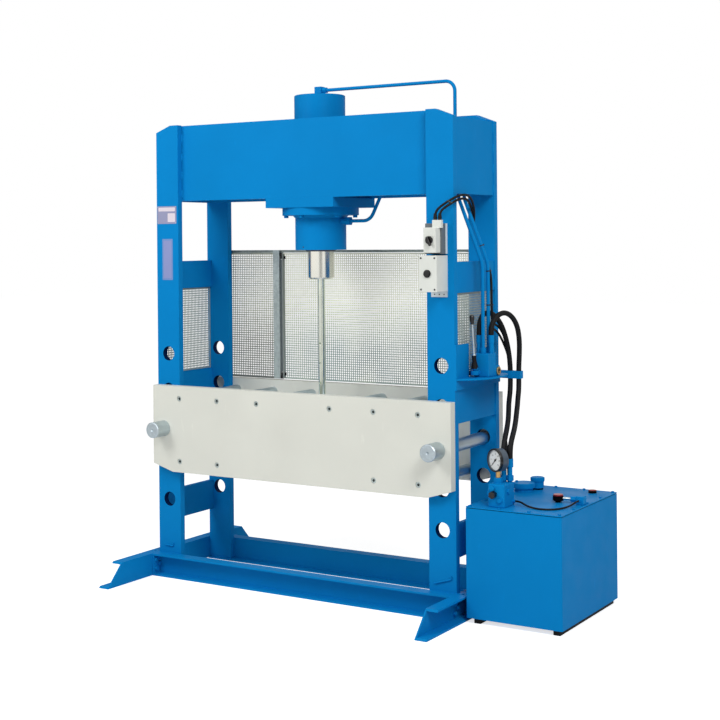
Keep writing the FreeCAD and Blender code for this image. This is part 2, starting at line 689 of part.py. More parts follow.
def table_pin():
    """Right table pin: a bar through plates and uprights, with a stop head in front."""
    face = -TABLE_Y1 - SEAT_GAP
    head = cyl(PIN_HEAD_R, (HOLE_X, face - PIN_HEAD_L + PIN_CHAMFER, PIN_Z), Y_AXIS, PIN_HEAD_L - PIN_CHAMFER)
    nose = cone(PIN_HEAD_R - PIN_CHAMFER, PIN_HEAD_R, (HOLE_X, face - PIN_HEAD_L, PIN_Z), Y_AXIS, PIN_CHAMFER)
    rod = cyl(PIN_R, (HOLE_X, face, PIN_Z), Y_AXIS, TABLE_Y1 + PIN_TAIL - face - PIN_CHAMFER)
    end = TABLE_Y1 + PIN_TAIL - PIN_CHAMFER
    tip = cone(PIN_R, PIN_R - PIN_CHAMFER, (HOLE_X, end, PIN_Z), Y_AXIS, PIN_CHAMFER)
    centre_mark = cone(PIN_CHAMFER * 2, 1, (HOLE_X, face - PIN_HEAD_L, PIN_Z), Y_AXIS, PIN_CHAMFER * 2)
    return head.fuse([nose, rod, tip]).cut(centre_mark)


# ---- guards --------------------------------------------------------------------------------------------
def tray(x, y, z):
    """Folded sheet panel with its edges turned towards the front."""
    inner = box((x[0] + SHEET_T, x[1] - SHEET_T), (y[0], y[1] - SHEET_T), (z[0] + SHEET_T, z[1] - SHEET_T))
    return box(x, y, z).cut(inner)


def guard_frame():
    """Angle rail across the top of the rear guard, with the tube post under it."""
    rail = box((-GUARD_HALF, GUARD_HALF), (HALF_DEPTH, GUARD_Y1), (RAIL_Z, GUARD_Z[1]))
    rail = rail.cut(box((-GUARD_HALF, GUARD_HALF), (HALF_DEPTH, GUARD_Y1 - SHEET_T),
                        (RAIL_Z, GUARD_Z[1] - SHEET_T)))
    post = box(POST_X, (HALF_DEPTH, GUARD_Y1 - SHEET_T), (GUARD_Z[0], GUARD_Z[1] - SHEET_T))
    hollow = box((POST_X[0] + SHEET_T, POST_X[1] - SHEET_T),
                 (HALF_DEPTH + SHEET_T, GUARD_Y1 - 2 * SHEET_T), (GUARD_Z[0], RAIL_Z))
    back = box(POST_X, (GUARD_Y1 - SHEET_T, GUARD_Y1), (GUARD_Z[0], RAIL_Z))
    return rail.fuse([post, back]).cut(hollow).fuse(guard_hinges())


def gridded(panel, x, z, count):
    """Rear guard panel with its grid of openings, count across."""
    y = (GUARD_Y1 - SHEET_T, GUARD_Y1)
    columns = spans(x[0] + GRID_RIM, x[1] - GRID_RIM, count)
    rows = spans(z[0] + GRID_RIM, z[1] - GRID_RIM, REAR_ROWS)
    return panel.cut([box(column, y, row) for column in columns for row in rows])


def fixed_guard():
    """Left panel of the rear guard, screwed to the upright."""
    x = (-GUARD_HALF, POST_X[0])
    z = (GUARD_Z[0], RAIL_Z)
    return gridded(tray(x, (HALF_DEPTH, GUARD_Y1), z), x, z, FIXED_COLUMNS)


def hinge_z():
    """Height of the fixed blocks: low block foot and high block foot."""
    return (GUARD_Z[0], RAIL_Z - HINGE_BLOCK[2])


def guard_hinges():
    """Two small blocks on the post, each bored for a hinge pin."""
    width, depth, height = HINGE_BLOCK
    blocks = []
    for z in hinge_z():
        y = (HINGE_Y - depth / 2, HINGE_Y + depth / 2)
        block = box((POST_X[1], POST_X[1] + width), y, (z, z + height))
        blocks.append(block.cut(cyl(HINGE_PIN_R + SLIDE_CLEAR, (HINGE_X, HINGE_Y, z), Z_AXIS, height)))
    return blocks


def guard_door():
    """Hinged panel of the rear guard, with a knuckle and pin at each fixed block."""
    low, high = hinge_z()
    height = HINGE_BLOCK[2]
    x0 = HINGE_X + DOOR_EDGE
    x = (x0, GUARD_HALF)
    z = (GUARD_Z[0] + DOOR_GAP, RAIL_Z - DOOR_GAP)
    panel = gridded(tray(x, (HALF_DEPTH + SEAT_GAP, GUARD_Y1), z), x, z, DOOR_COLUMNS)
    parts = []
    under = high - SEAT_GAP - height
    for foot, pin_z in ((low + height + SEAT_GAP, low + 2), (under, under)):
        parts.append(cyl(KNUCKLE_R, (HINGE_X, HINGE_Y, foot), Z_AXIS, height))
        parts.append(box((HINGE_X, x0 + SHEET_T), (GUARD_Y1 - 3 * SHEET_T, GUARD_Y1 - SHEET_T),
                         (foot, foot + height)))
        parts.append(cyl(HINGE_PIN_R, (HINGE_X, HINGE_Y, pin_z), Z_AXIS, 2 * height - 2))
    return panel.fuse(parts)


def side_guard():
    """Right side guard: folded sheet between the upper and middle webs."""
    x = (OUTER_X - WEB_INSET - WEB_T / 2 - SIDE_GUARD_D, OUTER_X - WEB_INSET - WEB_T / 2)
    y = (-INNER_Y, INNER_Y)
    z = (CROSS_WEBS_Z[1][1], CROSS_WEBS_Z[0][0])
    inner = box((x[0], x[1] - SHEET_T), (y[0] + SHEET_T, y[1] - SHEET_T), (z[0] + SHEET_T, z[1] - SHEET_T))
    columns = spans(y[0] + GRID_RIM, y[1] - GRID_RIM, SIDE_COLUMNS)
    rows = spans(z[0] + GRID_RIM, z[1] - GRID_RIM, SIDE_ROWS)
    holes = [box((x[1] - SHEET_T, x[1]), column, row) for column in columns for row in rows]
    return box(x, y, z).cut([inner] + holes)


# ---- pipes and hand valve ------------------------------------------------------------------------------
def slant(y):
    """Last part of both pipes, from the column out and down to the valve, in the press's own X."""
    return [(OUTER_X + SLANT_X[0], y, SLANT_Z[0]), (OUTER_X + SLANT_X[1], y, SLANT_Z[1]),
            (OUTER_X + SLANT_X[1], y, VALVE_Z)]


def upper_pipe():
    """Pipe from the top of the cylinder over the beam, down the right column and out to the valve."""
    drop = OUTER_X + PIPE_DROP_X
    points = [(ELBOW_R + NUT_H, 0, ELBOW_Z), (drop, 0, ELBOW_Z), (drop, 0, DROP_END_Z)] + slant(RISER_Y[0])
    line = pipe(points, UPPER_BENDS)
    elbow = cyl(ELBOW_R * 0.8, (0, 0, BARREL_Z1), Z_AXIS, ELBOW_Z - BARREL_Z1)
    block = box((-ELBOW_R, ELBOW_R), (-ELBOW_R, ELBOW_R), (ELBOW_Z - ELBOW_R * 0.7, ELBOW_Z + ELBOW_R))
    nut = hexagon(2 * NUT_R, (ELBOW_R, 0, ELBOW_Z), X_AXIS, NUT_H)
    return group([line, elbow.fuse(block).cut(nut), nut])


def lower_pipe():
    """Pipe from the side port of the barrel up into the beam, along it, and out to the valve."""
    rise, along = BEAM_RUN_X
    points = [(BARREL_R + 2 * NUT_H, 0, PORT_Z), (rise, 0, PORT_Z), (along, BEAM_RUN_Y[0], BEAM_RUN_Z),
              (OUTER_X + BEAM_RUN_END, BEAM_RUN_Y[1], BEAM_RUN_Z)] + slant(RISER_Y[1])
    line = pipe(points, LOWER_BENDS)
    half = PORT_HEX / 2
    port = cyl(half * 0.85, (BARREL_R, 0, PORT_Z), X_AXIS, NUT_H)
    nut = hexagon(PORT_HEX, (BARREL_R + NUT_H, 0, PORT_Z), X_AXIS, NUT_H)
    curved = cyl(BARREL_R, (0, 0, PORT_Z - 2 * half), Z_AXIS, 4 * half)
    boss = cyl(half * 0.85, (BARREL_R - 5, 0, PORT_Z), X_AXIS, 5).cut(curved)
    return group([line, port.fuse(boss), nut])


def valve_bracket():
    """Back plate with gusset, shelf for the valve, and the arm that clamps the hoses."""
    back = [(0, -HALF_DEPTH, BRACKET_Z0), (0, HALF_DEPTH, BRACKET_Z0), (0, HALF_DEPTH, SHELF_TOP),
            (0, GUSSET_Y, SHELF_TOP), (0, GUSSET_Y, GUSSET_TOP), (0, -HALF_DEPTH, GUSSET_TOP)]
    plate = prism(back, X_AXIS * BRACKET_T)
    z0 = SHELF_TOP - BRACKET_T
    rear = CLAMP_Y + CLAMP_D / 2
    edge = [(x, y, z0) for x, y in SHELF_EDGE]
    shelf = prism([(BRACKET_T, -HALF_DEPTH, z0)] + edge + [(SHELF_REAR_X, rear, z0), (BRACKET_T, rear, z0)],
                  Z_AXIS * BRACKET_T)
    arm = box((BRACKET_T, CLAMP_END), (CLAMP_Y - CLAMP_D / 2, rear), CLAMP_Z)
    low, high = CLAMP_Z
    holes = [cyl(HOSE_R + CLAMP_PLAY, (x, CLAMP_Y, low), Z_AXIS, high - low) for x in CLAMP_X]
    return plate.fuse([shelf, arm]).cut(holes).removeSplitter()


def valve_body():
    """Valve block in two steps with a plug on its side, and the pedestal, ball and pin of its lever."""
    x0, x1 = VALVE_X
    y0, y1 = VALVE_Y
    foot = box(VALVE_X, VALVE_Y, (SHELF_TOP, VALVE_MID))
    foot = foot.makeChamfer(3.0, foot.Edges)
    rear = y1 - VALVE_STEP
    cut_x, cut_y = VALVE_CORNER
    z0 = VALVE_MID - VALVE_STEP
    outline = [(x0, y0, z0), (x1, y0, z0), (x1, rear - cut_y, z0), (x1 - cut_x, rear, z0), (x0, rear, z0)]
    upper = prism(outline, Z_AXIS * (VALVE_TOP - z0))
    upper = upper.makeChamfer(3.0, [e for e in upper.Edges if e.BoundBox.ZMin > VALVE_TOP - 1])
    y, z = VALVE_PLUG_YZ
    plug = ring(VALVE_PLUG_R, VALVE_PLUG_R * 0.6, (x1 - 2, y, z), X_AXIS, 8)
    low, high = PEDESTAL_Z
    pedestal = cyl(PEDESTAL_R, (LEVER_X, LEVER_Y, low), Z_AXIS, high - low)
    neck = box((LEVER_X - PIVOT_R, LEVER_X + PIVOT_R), (LEVER_Y, y0 + 5), (low, high))
    ball = Part.makeSphere(PIVOT_R, V(LEVER_X, LEVER_Y, PIVOT_Z))
    pin = cyl(PIVOT_PIN_R, (LEVER_X - PIVOT_PIN_L / 2, LEVER_Y, PIVOT_Z), X_AXIS, PIVOT_PIN_L)
    return foot.fuse([upper, plug, pedestal, neck, ball, pin])


def leaning(shape):
    """Shape turned about the lever's pivot to its rest position."""
    shape.rotate(V(LEVER_X, LEVER_Y, PIVOT_Z), X_AXIS, LEVER_LEAN)
    return shape


def lever_bar():
    """Bar of the lever, upright."""
    z0 = PIVOT_Z + PIVOT_R + 1
    return cyl(LEVER_R, (LEVER_X, LEVER_Y, z0), Z_AXIS, LEVER_TOP - z0)


def valve_lever():
    """Lever bar with the collar above its boot."""
    collar = cyl(COLLAR_R, (LEVER_X, LEVER_Y, BOOT_Z[2]), Z_AXIS, COLLAR_H)
    return leaning(lever_bar().fuse(collar))


def lever_knob():
    """Tapered grip on the lever."""
    z0, z1 = KNOB_Z
    low, high = KNOB_R
    body = cone(low, high, (LEVER_X, LEVER_Y, z0), Z_AXIS, z1 - z0 - KNOB_CROWN)
    crown = cone(high, low, (LEVER_X, LEVER_Y, z1 - KNOB_CROWN), Z_AXIS, KNOB_CROWN)
    return leaning(body.fuse(crown).cut(lever_bar()))


def lever_boot():
    """Rubber boot that turns with the lever about the pivot pin."""
    wide, waist, narrow = BOOT_R
    foot, middle, top = BOOT_Z
    skirt = cone(wide, waist, (LEVER_X, LEVER_Y, foot), Z_AXIS, middle - foot)
    sleeve = cyl(narrow, (LEVER_X, LEVER_Y, middle), Z_AXIS, top - middle)
    ball = Part.makeSphere(PIVOT_R + 2 * SEAT_GAP, V(LEVER_X, LEVER_Y, PIVOT_Z))
    pin = cyl(PIVOT_PIN_R + SEAT_GAP, (LEVER_X - BOOT_R[0], LEVER_Y, PIVOT_Z), X_AXIS, 2 * BOOT_R[0])
    return leaning(skirt.fuse(sleeve).cut([ball, pin, lever_bar()]))


def hose_fittings():
    """Pipe nuts and hose fittings on the valve, and the hose fittings on the manifold."""
    parts = [ring(NUT_R, PIPE_R * 0.6, (SLANT_X[1], y, VALVE_TOP), Z_AXIS, NUT_H) for y in RISER_Y]
    for x, y in HOSE_PORTS:
        nipple = cyl(FITTING_R, (x, y, VALVE_TOP), Z_AXIS, FITTING_H)
        ferrule = cyl(FERRULE_R, (x, y, VALVE_TOP + FITTING_H), Z_AXIS, FERRULE_H)
        parts.append(nipple.fuse([hexagon(2 * FITTING_R, (x, y, VALVE_TOP), Z_AXIS, NUT_H), ferrule]))
    for x, y in HOSE_ENDS:
        nipple = cyl(FITTING_R * 0.8, (x, y, MANIFOLD_TOP), Z_AXIS, END_Z - MANIFOLD_TOP)
        ferrule = cyl(FERRULE_R, (x, y, END_Z), Z_AXIS, END_FERRULE_H)
        parts.append(nipple.fuse([hexagon(2 * NUT_R, (x, y, MANIFOLD_TOP + 6), Z_AXIS, NUT_H), ferrule]))
    return group(parts)


HOSE_TOP = VALVE_TOP + FITTING_H + FERRULE_H
HOSE_FOOT = END_Z + END_FERRULE_H

# Hand-chosen routes of the two hoses: up from the valve, over, through the clamp, down to the manifold.
RETURN_HOSE = [(33, -42, HOSE_TOP), (33, -42, 1396), (32, -29, 1432), (36, -2, 1459), (48, 34, 1467),
               (60, 70, 1452), (70, 104, 1422), (76, 136, 1382), (82, 164, 1322), (87, 182, 1255),
               (90, 190, 1185), (90, 190, 1110), (93, 180, 1062), (99, 157, 1028), (111, 124, 1000),
               (133, 76, 972), (159, 16, 940), (182, -46, 908), (199, -98, 882), (208, -131, 854),
               (211, -149, 816), (211, -149, HOSE_FOOT)]
PRESSURE_HOSE = [(91, -27, HOSE_TOP), (91, -27, 1394), (97, -12, 1428), (107, 16, 1454), (119, 52, 1466),
                 (132, 90, 1458), (144, 124, 1430), (151, 152, 1386), (150, 173, 1322), (143, 186, 1252),
                 (137, 190, 1182), (137, 190, 1110), (140, 180, 1062), (146, 157, 1028), (159, 124, 1000),
                 (177, 76, 972), (200, 16, 940), (222, -46, 908), (236, -96, 882), (242, -128, 854),
                 (244, -144, 816), (244, -144, HOSE_FOOT)]

# ---- electrics -----------------------------------------------------------------------------------------
def face_box(x0, x1, depth, z0, z1, start=0.0):
    """Box standing on the front face of the right upright, or on what is start in front of it."""
    return box((x0, x1), (-HALF_DEPTH - start - depth, -HALF_DEPTH - start), (z0, z1))


def switch_base():
    """Folded base behind the switch box."""
    x0, x1, depth, z0, z1 = SWITCH_BASE
    body = face_box(x0, x1, depth, z0, z1)
    return body.cut(face_box(x0 + SHEET_T, x1 - SHEET_T, depth - SHEET_T, z0 + SHEET_T, z1 - SHEET_T))


def switch_box():
    """Switch housing with the gland block on top."""
    x0, x1, depth, z0, z1 = SWITCH_BOX
    back = SWITCH_BASE[2]
    housing = face_box(x0, x1, depth, z0, z1, back)
    housing = housing.makeFillet(3.0, housing.Edges)
    gx0, gx1, gdepth, gheight = GLAND_BLOCK
    gland = face_box(gx0, gx1, gdepth, z1 - 2, z1 + gheight, back)
    front = -HALF_DEPTH - back - depth
    spindle = cyl(SPINDLE_R + SLIDE_CLEAR, ((x0 + x1) / 2, front, SWITCH_KNOB_Z), Y_AXIS, 12)
    return housing.fuse(gland).cut(spindle)


def switch_knob():
    """Rotary switch: round base with a raised grip, and its spindle."""
    x0, x1, depth, z0, z1 = SWITCH_BOX
    x = (x0 + x1) / 2
    face = -HALF_DEPTH - SWITCH_BASE[2] - depth - SEAT_GAP
    disc = cyl(SWITCH_KNOB_R, (x, face - 8, SWITCH_KNOB_Z), Y_AXIS, 8)
    grip = box((x - 6, x + 6), (face - 22, face - 8), (SWITCH_KNOB_Z - 30, SWITCH_KNOB_Z + SWITCH_KNOB_R - 2))
    grip = grip.makeFillet(3.0, grip.Edges)
    grip.rotate(V(x, 0, SWITCH_KNOB_Z), Y_AXIS, -25)
    spindle = cyl(SPINDLE_R, (x, face, SWITCH_KNOB_Z), Y_AXIS, 10)
    return disc.fuse([grip, spindle])


def control_box():
    """Push-button housing with its mounting plate and cover screws."""
    x0, x1, depth, z0, z1 = CONTROL_BOX
    housing = face_box(x0, x1, depth, z0, z1)
    housing = housing.makeFillet(3.0, [e for e in housing.Edges if e.BoundBox.YLength > 1])
    front = -HALF_DEPTH - depth
    bezel = cyl(BEZEL_R, (BUTTON_X, front - BEZEL_H, BUTTON_Z), Y_AXIS, BEZEL_H)
    extras = [bezel, face_box(*CONTROL_PLATE)]
    for x in (x0 + BOX_SCREW_INSET, x1 - BOX_SCREW_INSET):
        for z in (z0 + BOX_SCREW_INSET, z1 - BOX_SCREW_INSET):
            extras.append(cyl(BOX_SCREW_R, (x, front - 1.5, z), Y_AXIS, 3))
    well = cyl(BUTTON_R + SEAT_GAP, (BUTTON_X, front - BEZEL_H, BUTTON_Z), Y_AXIS, BEZEL_H + BUTTON_WELL)
    return housing.fuse(extras).cut(well)


def push_button():
    """Push button that travels in its bezel."""
    front = -HALF_DEPTH - CONTROL_BOX[2] - BUTTON_OUT
    cap = cyl(BUTTON_R, (BUTTON_X, front, BUTTON_Z), Y_AXIS, BUTTON_OUT + BUTTON_WELL - BUTTON_TRAVEL - 1)
    return cap.makeFillet(2.0, [e for e in cap.Edges if abs(e.BoundBox.YMin - front) < 0.01
                                and e.BoundBox.YLength < 0.01])


GLAND_TOP = SWITCH_BOX[4] + GLAND_BLOCK[3] + GLAND_H
GLAND_Y = -HALF_DEPTH - SWITCH_BASE[2] - GLAND_BLOCK[2] / 2
LID_GLAND_TOP = LID_TOP + LID_GLAND_H

# Hand-chosen routes of the two cables: from the gland block round the upright, under the top web, down behind
# the outer pipe and the return hose to the tank lid.
MOTOR_CABLE = [(-63, -310, GLAND_TOP), (-63, -310, 1954), (-54, -309, 1975), (-35, -304, 1992),
               (-14, -294, 2008), (6, -279, 2023), (23, -257, 2037), (30, -224, 2045), (27, -178, 2049),
               (18, -118, 2046), (8, -64, 2028), (-1, -30, 2004), (-10, -2, 1980), (-17, 13, 1957),
               (-25, 24, 1931), (-29, 27, 1903), (-15, 24, 1866), (18, 17, 1800), (42, 17, 1738),
               (59, 18, 1690), (72, 15, 1650), (77, 9, 1600), (77, 9, 1522), (76, 13, 1446), (67, 38, 1402),
               (55, 66, 1382), (46, 98, 1378), (42, 134, 1366), (46, 164, 1342), (53, 190, 1304),
               (62, 212, 1256), (70, 227, 1200), (72, 231, 1150), (72, 231, 1100), (73, 224, 1048),
               (78, 207, 1004), (90, 173, 970), (113, 123, 942), (140, 60, 912), (163, -1, 882),
               (177, -46, 854), (184, -68, 818), (185, -78, 764), (186, -76, 696), (185, -76, 640),
               (185, -76, LID_GLAND_TOP)]
CONTROL_CABLE = [(-38, -310, GLAND_TOP), (-38, -310, 1953), (-30, -308, 1972), (-13, -301, 1987),
                 (4, -288, 2001), (17, -270, 2013), (24, -242, 2023), (24, -206, 2029), (16, -156, 2031),
                 (5, -102, 2026), (-6, -60, 2012), (-17, -27, 1997), (-26, 3, 1985), (-34, 25, 1966),
                 (-38, 37, 1936), (-37, 41, 1900), (-20, 40, 1858), (13, 33, 1796), (35, 32, 1738),
                 (50, 32, 1690), (63, 29, 1650), (70, 23, 1600), (70, 23, 1524), (69, 29, 1466),
                 (63, 50, 1429), (51, 80, 1408), (47, 112, 1402), (53, 146, 1384), (62, 174, 1346),
                 (70, 195, 1298), (76, 209, 1240), (79, 217, 1180), (79, 217, 1108), (79, 209, 1056),
                 (84, 190, 1018), (93, 160, 990), (115, 112, 962), (140, 50, 932), (164, -14, 900),
                 (183, -66, 872), (198, -90, 844), (208, -96, 798), (211, -98, 728), (212, -96, 656),
                 (212, -96, LID_GLAND_TOP)]

def cable_glands():
    """Glands at both ends of the two cables."""
    parts = []
    for x in GLAND_X:
        parts.append(cyl(CABLE_R + 3, (x, GLAND_Y, GLAND_TOP - GLAND_H), Z_AXIS, GLAND_H))
    for x, y in LID_GLANDS:
        nut = hexagon(24, (x, y, LID_TOP), Z_AXIS, 10)
        parts.append(nut.fuse(cyl(CABLE_R + 4, (x, y, LID_TOP), Z_AXIS, LID_GLAND_TOP - LID_TOP)))
    return group(parts)


# ---- power unit ----------------------------------------------------------------------------------------
def tank():
    """Open-topped oil tank of folded plate."""
    body = box(TANK_X, TANK_Y, (TANK_Z0, LID_Z))
    upright_edges = [e for e in body.Edges if e.BoundBox.ZLength > 1]
    body = body.makeFillet(6.0, upright_edges)
    inner = box((TANK_X[0] + TANK_WALL, TANK_X[1] - TANK_WALL),
                (TANK_Y[0] + TANK_WALL, TANK_Y[1] - TANK_WALL), (TANK_Z0 + TANK_WALL, LID_Z))
    return body.cut(inner)


def lid_bolt_places():
    """X and Y of the lid bolts, on the tank's flange line."""
    x0, x1 = TANK_X[0] + LID_BOLT_INSET, TANK_X[1] - LID_BOLT_INSET
    y0, y1 = TANK_Y[0] + LID_BOLT_INSET, TANK_Y[1] - LID_BOLT_INSET
    third = (x1 - x0) / 3
    quarter = (y1 - y0) / 4
    rows = [(x0 + k * third, y) for y in (y0, y1) for k in range(4)]
    sides = [(x, y0 + k * quarter) for x in (x0, x1) for k in (1, 2)]
    return rows + sides + [(x1, y0 + 3 * quarter)]


def lid_plate(inset, z):
    """Rectangular plate as large as the tank, less an inset, with round corners."""
    plate = box((TANK_X[0] + inset, TANK_X[1] - inset), (TANK_Y[0] + inset, TANK_Y[1] - inset), z)
    return plate.makeFillet(6.0, [e for e in plate.Edges if e.BoundBox.ZLength > 1])


def tank_lid():
    """Lid with the gasket groove, the openings for filter and screws, and the socket of the small cap."""
    seam = LID_Z + GASKET
    plate = lid_plate(0, (seam, LID_TOP)).fuse(lid_plate(GASKET, (LID_Z, seam)))
    cap = cyl(CAP_R, (CAP_XY[0], CAP_XY[1], LID_TOP), Z_AXIS, CAP_H)
    cuts = [cyl(BOWL_R, (FILTER_XY[0], FILTER_XY[1], LID_Z), Z_AXIS, LID_T)]
    for x, y in lid_bolt_places():
        cuts.append(cyl(LID_BOLT_R, (x, y, LID_Z), Z_AXIS, LID_T))
    return plate.fuse(cap).cut(cuts)


def lid_bolts():
    """Hexagon screws through the lid."""
    screws = []
    for x, y in lid_bolt_places():
        head = hexagon(13, (x, y, LID_TOP), Z_AXIS, 6)
        screws.append(head.fuse(cyl(LID_BOLT_R, (x, y, LID_Z), Z_AXIS, LID_T)))
    return group(screws)


def tank_runners():
    """Rubber-faced runners under the tank."""
    y = (TANK_Y[0] + RUNNER_INSET, TANK_Y[1] - RUNNER_INSET)
    return group([box((x - RUNNER_W / 2, x + RUNNER_W / 2), y, (0, TANK_Z0)) for x in RUNNER_X])


def manifold():
    """Valve block on the lid, with gauge adapter, cartridge, plugs, hose union and setting-screw hole."""
    x0, x1 = MANIFOLD_X
    y0, y1 = MANIFOLD_Y
    block = box(MANIFOLD_X, MANIFOLD_Y, (LID_TOP, MANIFOLD_TOP))
    block = block.makeChamfer(3.0, block.Edges)
    adapter_h = ADAPTER_TOP - MANIFOLD_TOP
    extras = [hexagon(ADAPTER_HEX, (GAUGE_XY[0], GAUGE_XY[1], MANIFOLD_TOP), Z_AXIS, adapter_h),
              cyl(CARTRIDGE_R, (CARTRIDGE_XZ[0], y0 - 10, CARTRIDGE_XZ[1]), Y_AXIS, 12),
              cyl(SIDE_DISC_R, (x0 - 12, SIDE_DISC_YZ[0], SIDE_DISC_YZ[1]), X_AXIS, 14),
              hexagon(PLUG_HEX, (FRONT_PLUG_XZ[0], y0 - 8, FRONT_PLUG_XZ[1]), Y_AXIS, 10),
              hexagon(PLUG_HEX, (x1 - 2, SIDE_PLUG_YZ[0], SIDE_PLUG_YZ[1]), X_AXIS, 10),
              cyl(UNION_R, (x1 - 2, PILOT_START[1], PILOT_START[2]), X_AXIS, UNION_L + 2)]
    radius, length = SETTER_SPINDLE
    hole = cyl(radius + SLIDE_CLEAR, (SETTER_X, y0, SETTER_Z), Y_AXIS, length + 4)
    return block.fuse(extras).cut(hole)


def pressure_setter():
    """Fluted knob of the pressure setting screw, on the front of the manifold."""
    face = MANIFOLD_Y[0] - SEAT_GAP
    knob = cyl(SETTER_R, (SETTER_X, face - SETTER_L, SETTER_Z), Y_AXIS, SETTER_L)
    flutes = []
    for k in range(FLUTE_COUNT):
        turn = 2 * math.pi * k / FLUTE_COUNT
        x = SETTER_X + SETTER_R * math.cos(turn)
        z = SETTER_Z + SETTER_R * math.sin(turn)
        flutes.append(cyl(FLUTE_R, (x, face - SETTER_L, z), Y_AXIS, SETTER_L))
    radius, length = SETTER_SPINDLE
    return knob.cut(flutes).fuse(cyl(radius, (SETTER_X, face, SETTER_Z), Y_AXIS, length))


def gauge_direction():
    """Unit vector out of the gauge's dial."""
    turn = math.radians(GAUGE_TURN)
    return V(-math.sin(turn), -math.cos(turn), 0)


def gauge_case():
    """Gauge: case with recessed dial, and its stem."""
    out = gauge_direction()
    centre = V(GAUGE_XY[0], GAUGE_XY[1], GAUGE_Z)
    back = centre - out * (GAUGE_D / 2)
    case = Part.makeCylinder(GAUGE_R, GAUGE_D, back, out)
    case = case.makeFillet(4.0, case.Edges[0:1] + case.Edges[2:3])
    recess = Part.makeCylinder(DIAL_R, DIAL_SINK, centre + out * (GAUGE_D / 2 - DIAL_SINK), out)
    arbor = Part.makeCylinder(ARBOR_R + SLIDE_CLEAR, 8, centre + out * (GAUGE_D / 2 - DIAL_SINK - 8), out)
    stem = cyl(STEM_R, (GAUGE_XY[0], GAUGE_XY[1], ADAPTER_TOP), Z_AXIS, GAUGE_Z - GAUGE_R + 4 - ADAPTER_TOP)
    return case.cut([recess, arbor]).fuse(stem)


def gauge_needle():
    """Gauge pointer at rest, low on the left, with its arbor."""
    out = gauge_direction()
    centre = V(GAUGE_XY[0], GAUGE_XY[1], GAUGE_Z)
    dial = centre + out * (GAUGE_D / 2 - DIAL_SINK)
    side = out.cross(Z_AXIS)
    angle = math.radians(225)
    along = side * -math.cos(angle) + Z_AXIS * math.sin(angle)
    across = along.cross(out)
    p = [dial + out * 2 + across * 2.2 - along * 12, dial + out * 2 + across * 0.8 + along * 40,
         dial + out * 2 - across * 0.8 + along * 40, dial + out * 2 - across * 2.2 - along * 12]
    hand = Part.Face(Part.makePolygon(p + p[:1])).extrude(out * 1.2)
    hub = Part.makeCylinder(5, 3, dial + out * 1.4, out)
    arbor = Part.makeCylinder(ARBOR_R, 9, dial - out * 7, out)
    return hand.fuse([hub, arbor])


def oil_motor():
    """Motor hanging from the lid, with cooling ribs and a foot flange."""
    x, y = MOTOR_XY
    radius, thickness = MOTOR_FLANGE
    flange_z0 = LID_Z - thickness
    flange = cyl(radius, (x, y, flange_z0), Z_AXIS, thickness)
    body = cyl(MOTOR_R, (x, y, flange_z0 - MOTOR_H), Z_AXIS, MOTOR_H)
    grooves = []
    for k in range(RIB_COUNT):
        z = flange_z0 - (k + 1) * RIB_PITCH
        grooves.append(ring(MOTOR_R + 1, MOTOR_R - RIB_D, (x, y, z), Z_AXIS, RIB_PITCH / 2))
    return flange.fuse(body).cut(grooves)


def gear_pump():
    """Pump under the motor, with its suction strainer."""
    x, y = MOTOR_XY
    top = LID_Z - MOTOR_FLANGE[1] - MOTOR_H
    half_x, half_y = PUMP_HALF
    foot = top - PUMP_H
    body = cyl(PUMP_R, (x, y, top - PUMP_FLANGE), Z_AXIS, PUMP_FLANGE)
    housing = box((x - half_x, x + half_x), (y - half_y, y + half_y), (foot, top - PUMP_FLANGE))
    radius, length = STRAINER_NECK
    neck = cyl(radius, (x, y, foot - length), Z_AXIS, length)
    can = cyl(STRAINER_R, (x, y, foot - length - STRAINER_H), Z_AXIS, STRAINER_H)
    return body.fuse([housing, neck, can])


def return_filter():
    """Filter cover on its neck, with a screw on top and the bowl hanging in the tank."""
    x, y = FILTER_XY
    radius, height = FILTER_BODY
    neck = cyl(radius, (x, y, LID_TOP), Z_AXIS, height)
    cover = cyl(FILTER_R, (x, y, LID_TOP + height), Z_AXIS, FILTER_H - height)
    cover = cover.makeChamfer(3.0, [e for e in cover.Edges if e.BoundBox.ZMin > LID_TOP + FILTER_H - 1])
    screw_r, screw_h = FILTER_SCREW
    screw = cyl(screw_r, (x - FILTER_R * 0.7, y, LID_TOP + FILTER_H), Z_AXIS, screw_h)
    bowl = cyl(BOWL_R, (x, y, LID_TOP - BOWL_H), Z_AXIS, BOWL_H)
    return cover.fuse([neck, screw, bowl])


def breather():
    """Filler breather: base ring, body and wider cap."""
    x, y = BREATHER_XY
    foot_r, body_r, cap_r = BREATHER_R
    foot_h, body_h, top = BREATHER_H
    foot = cyl(foot_r, (x, y, LID_TOP), Z_AXIS, foot_h)
    body = cyl(body_r, (x, y, LID_TOP + foot_h), Z_AXIS, body_h - foot_h)
    cap = cyl(cap_r, (x, y, LID_TOP + body_h), Z_AXIS, top - body_h)
    cap = cap.makeFillet(6.0, [e for e in cap.Edges if e.BoundBox.ZMin > LID_TOP + top - 1])
    return foot.fuse([body, cap])


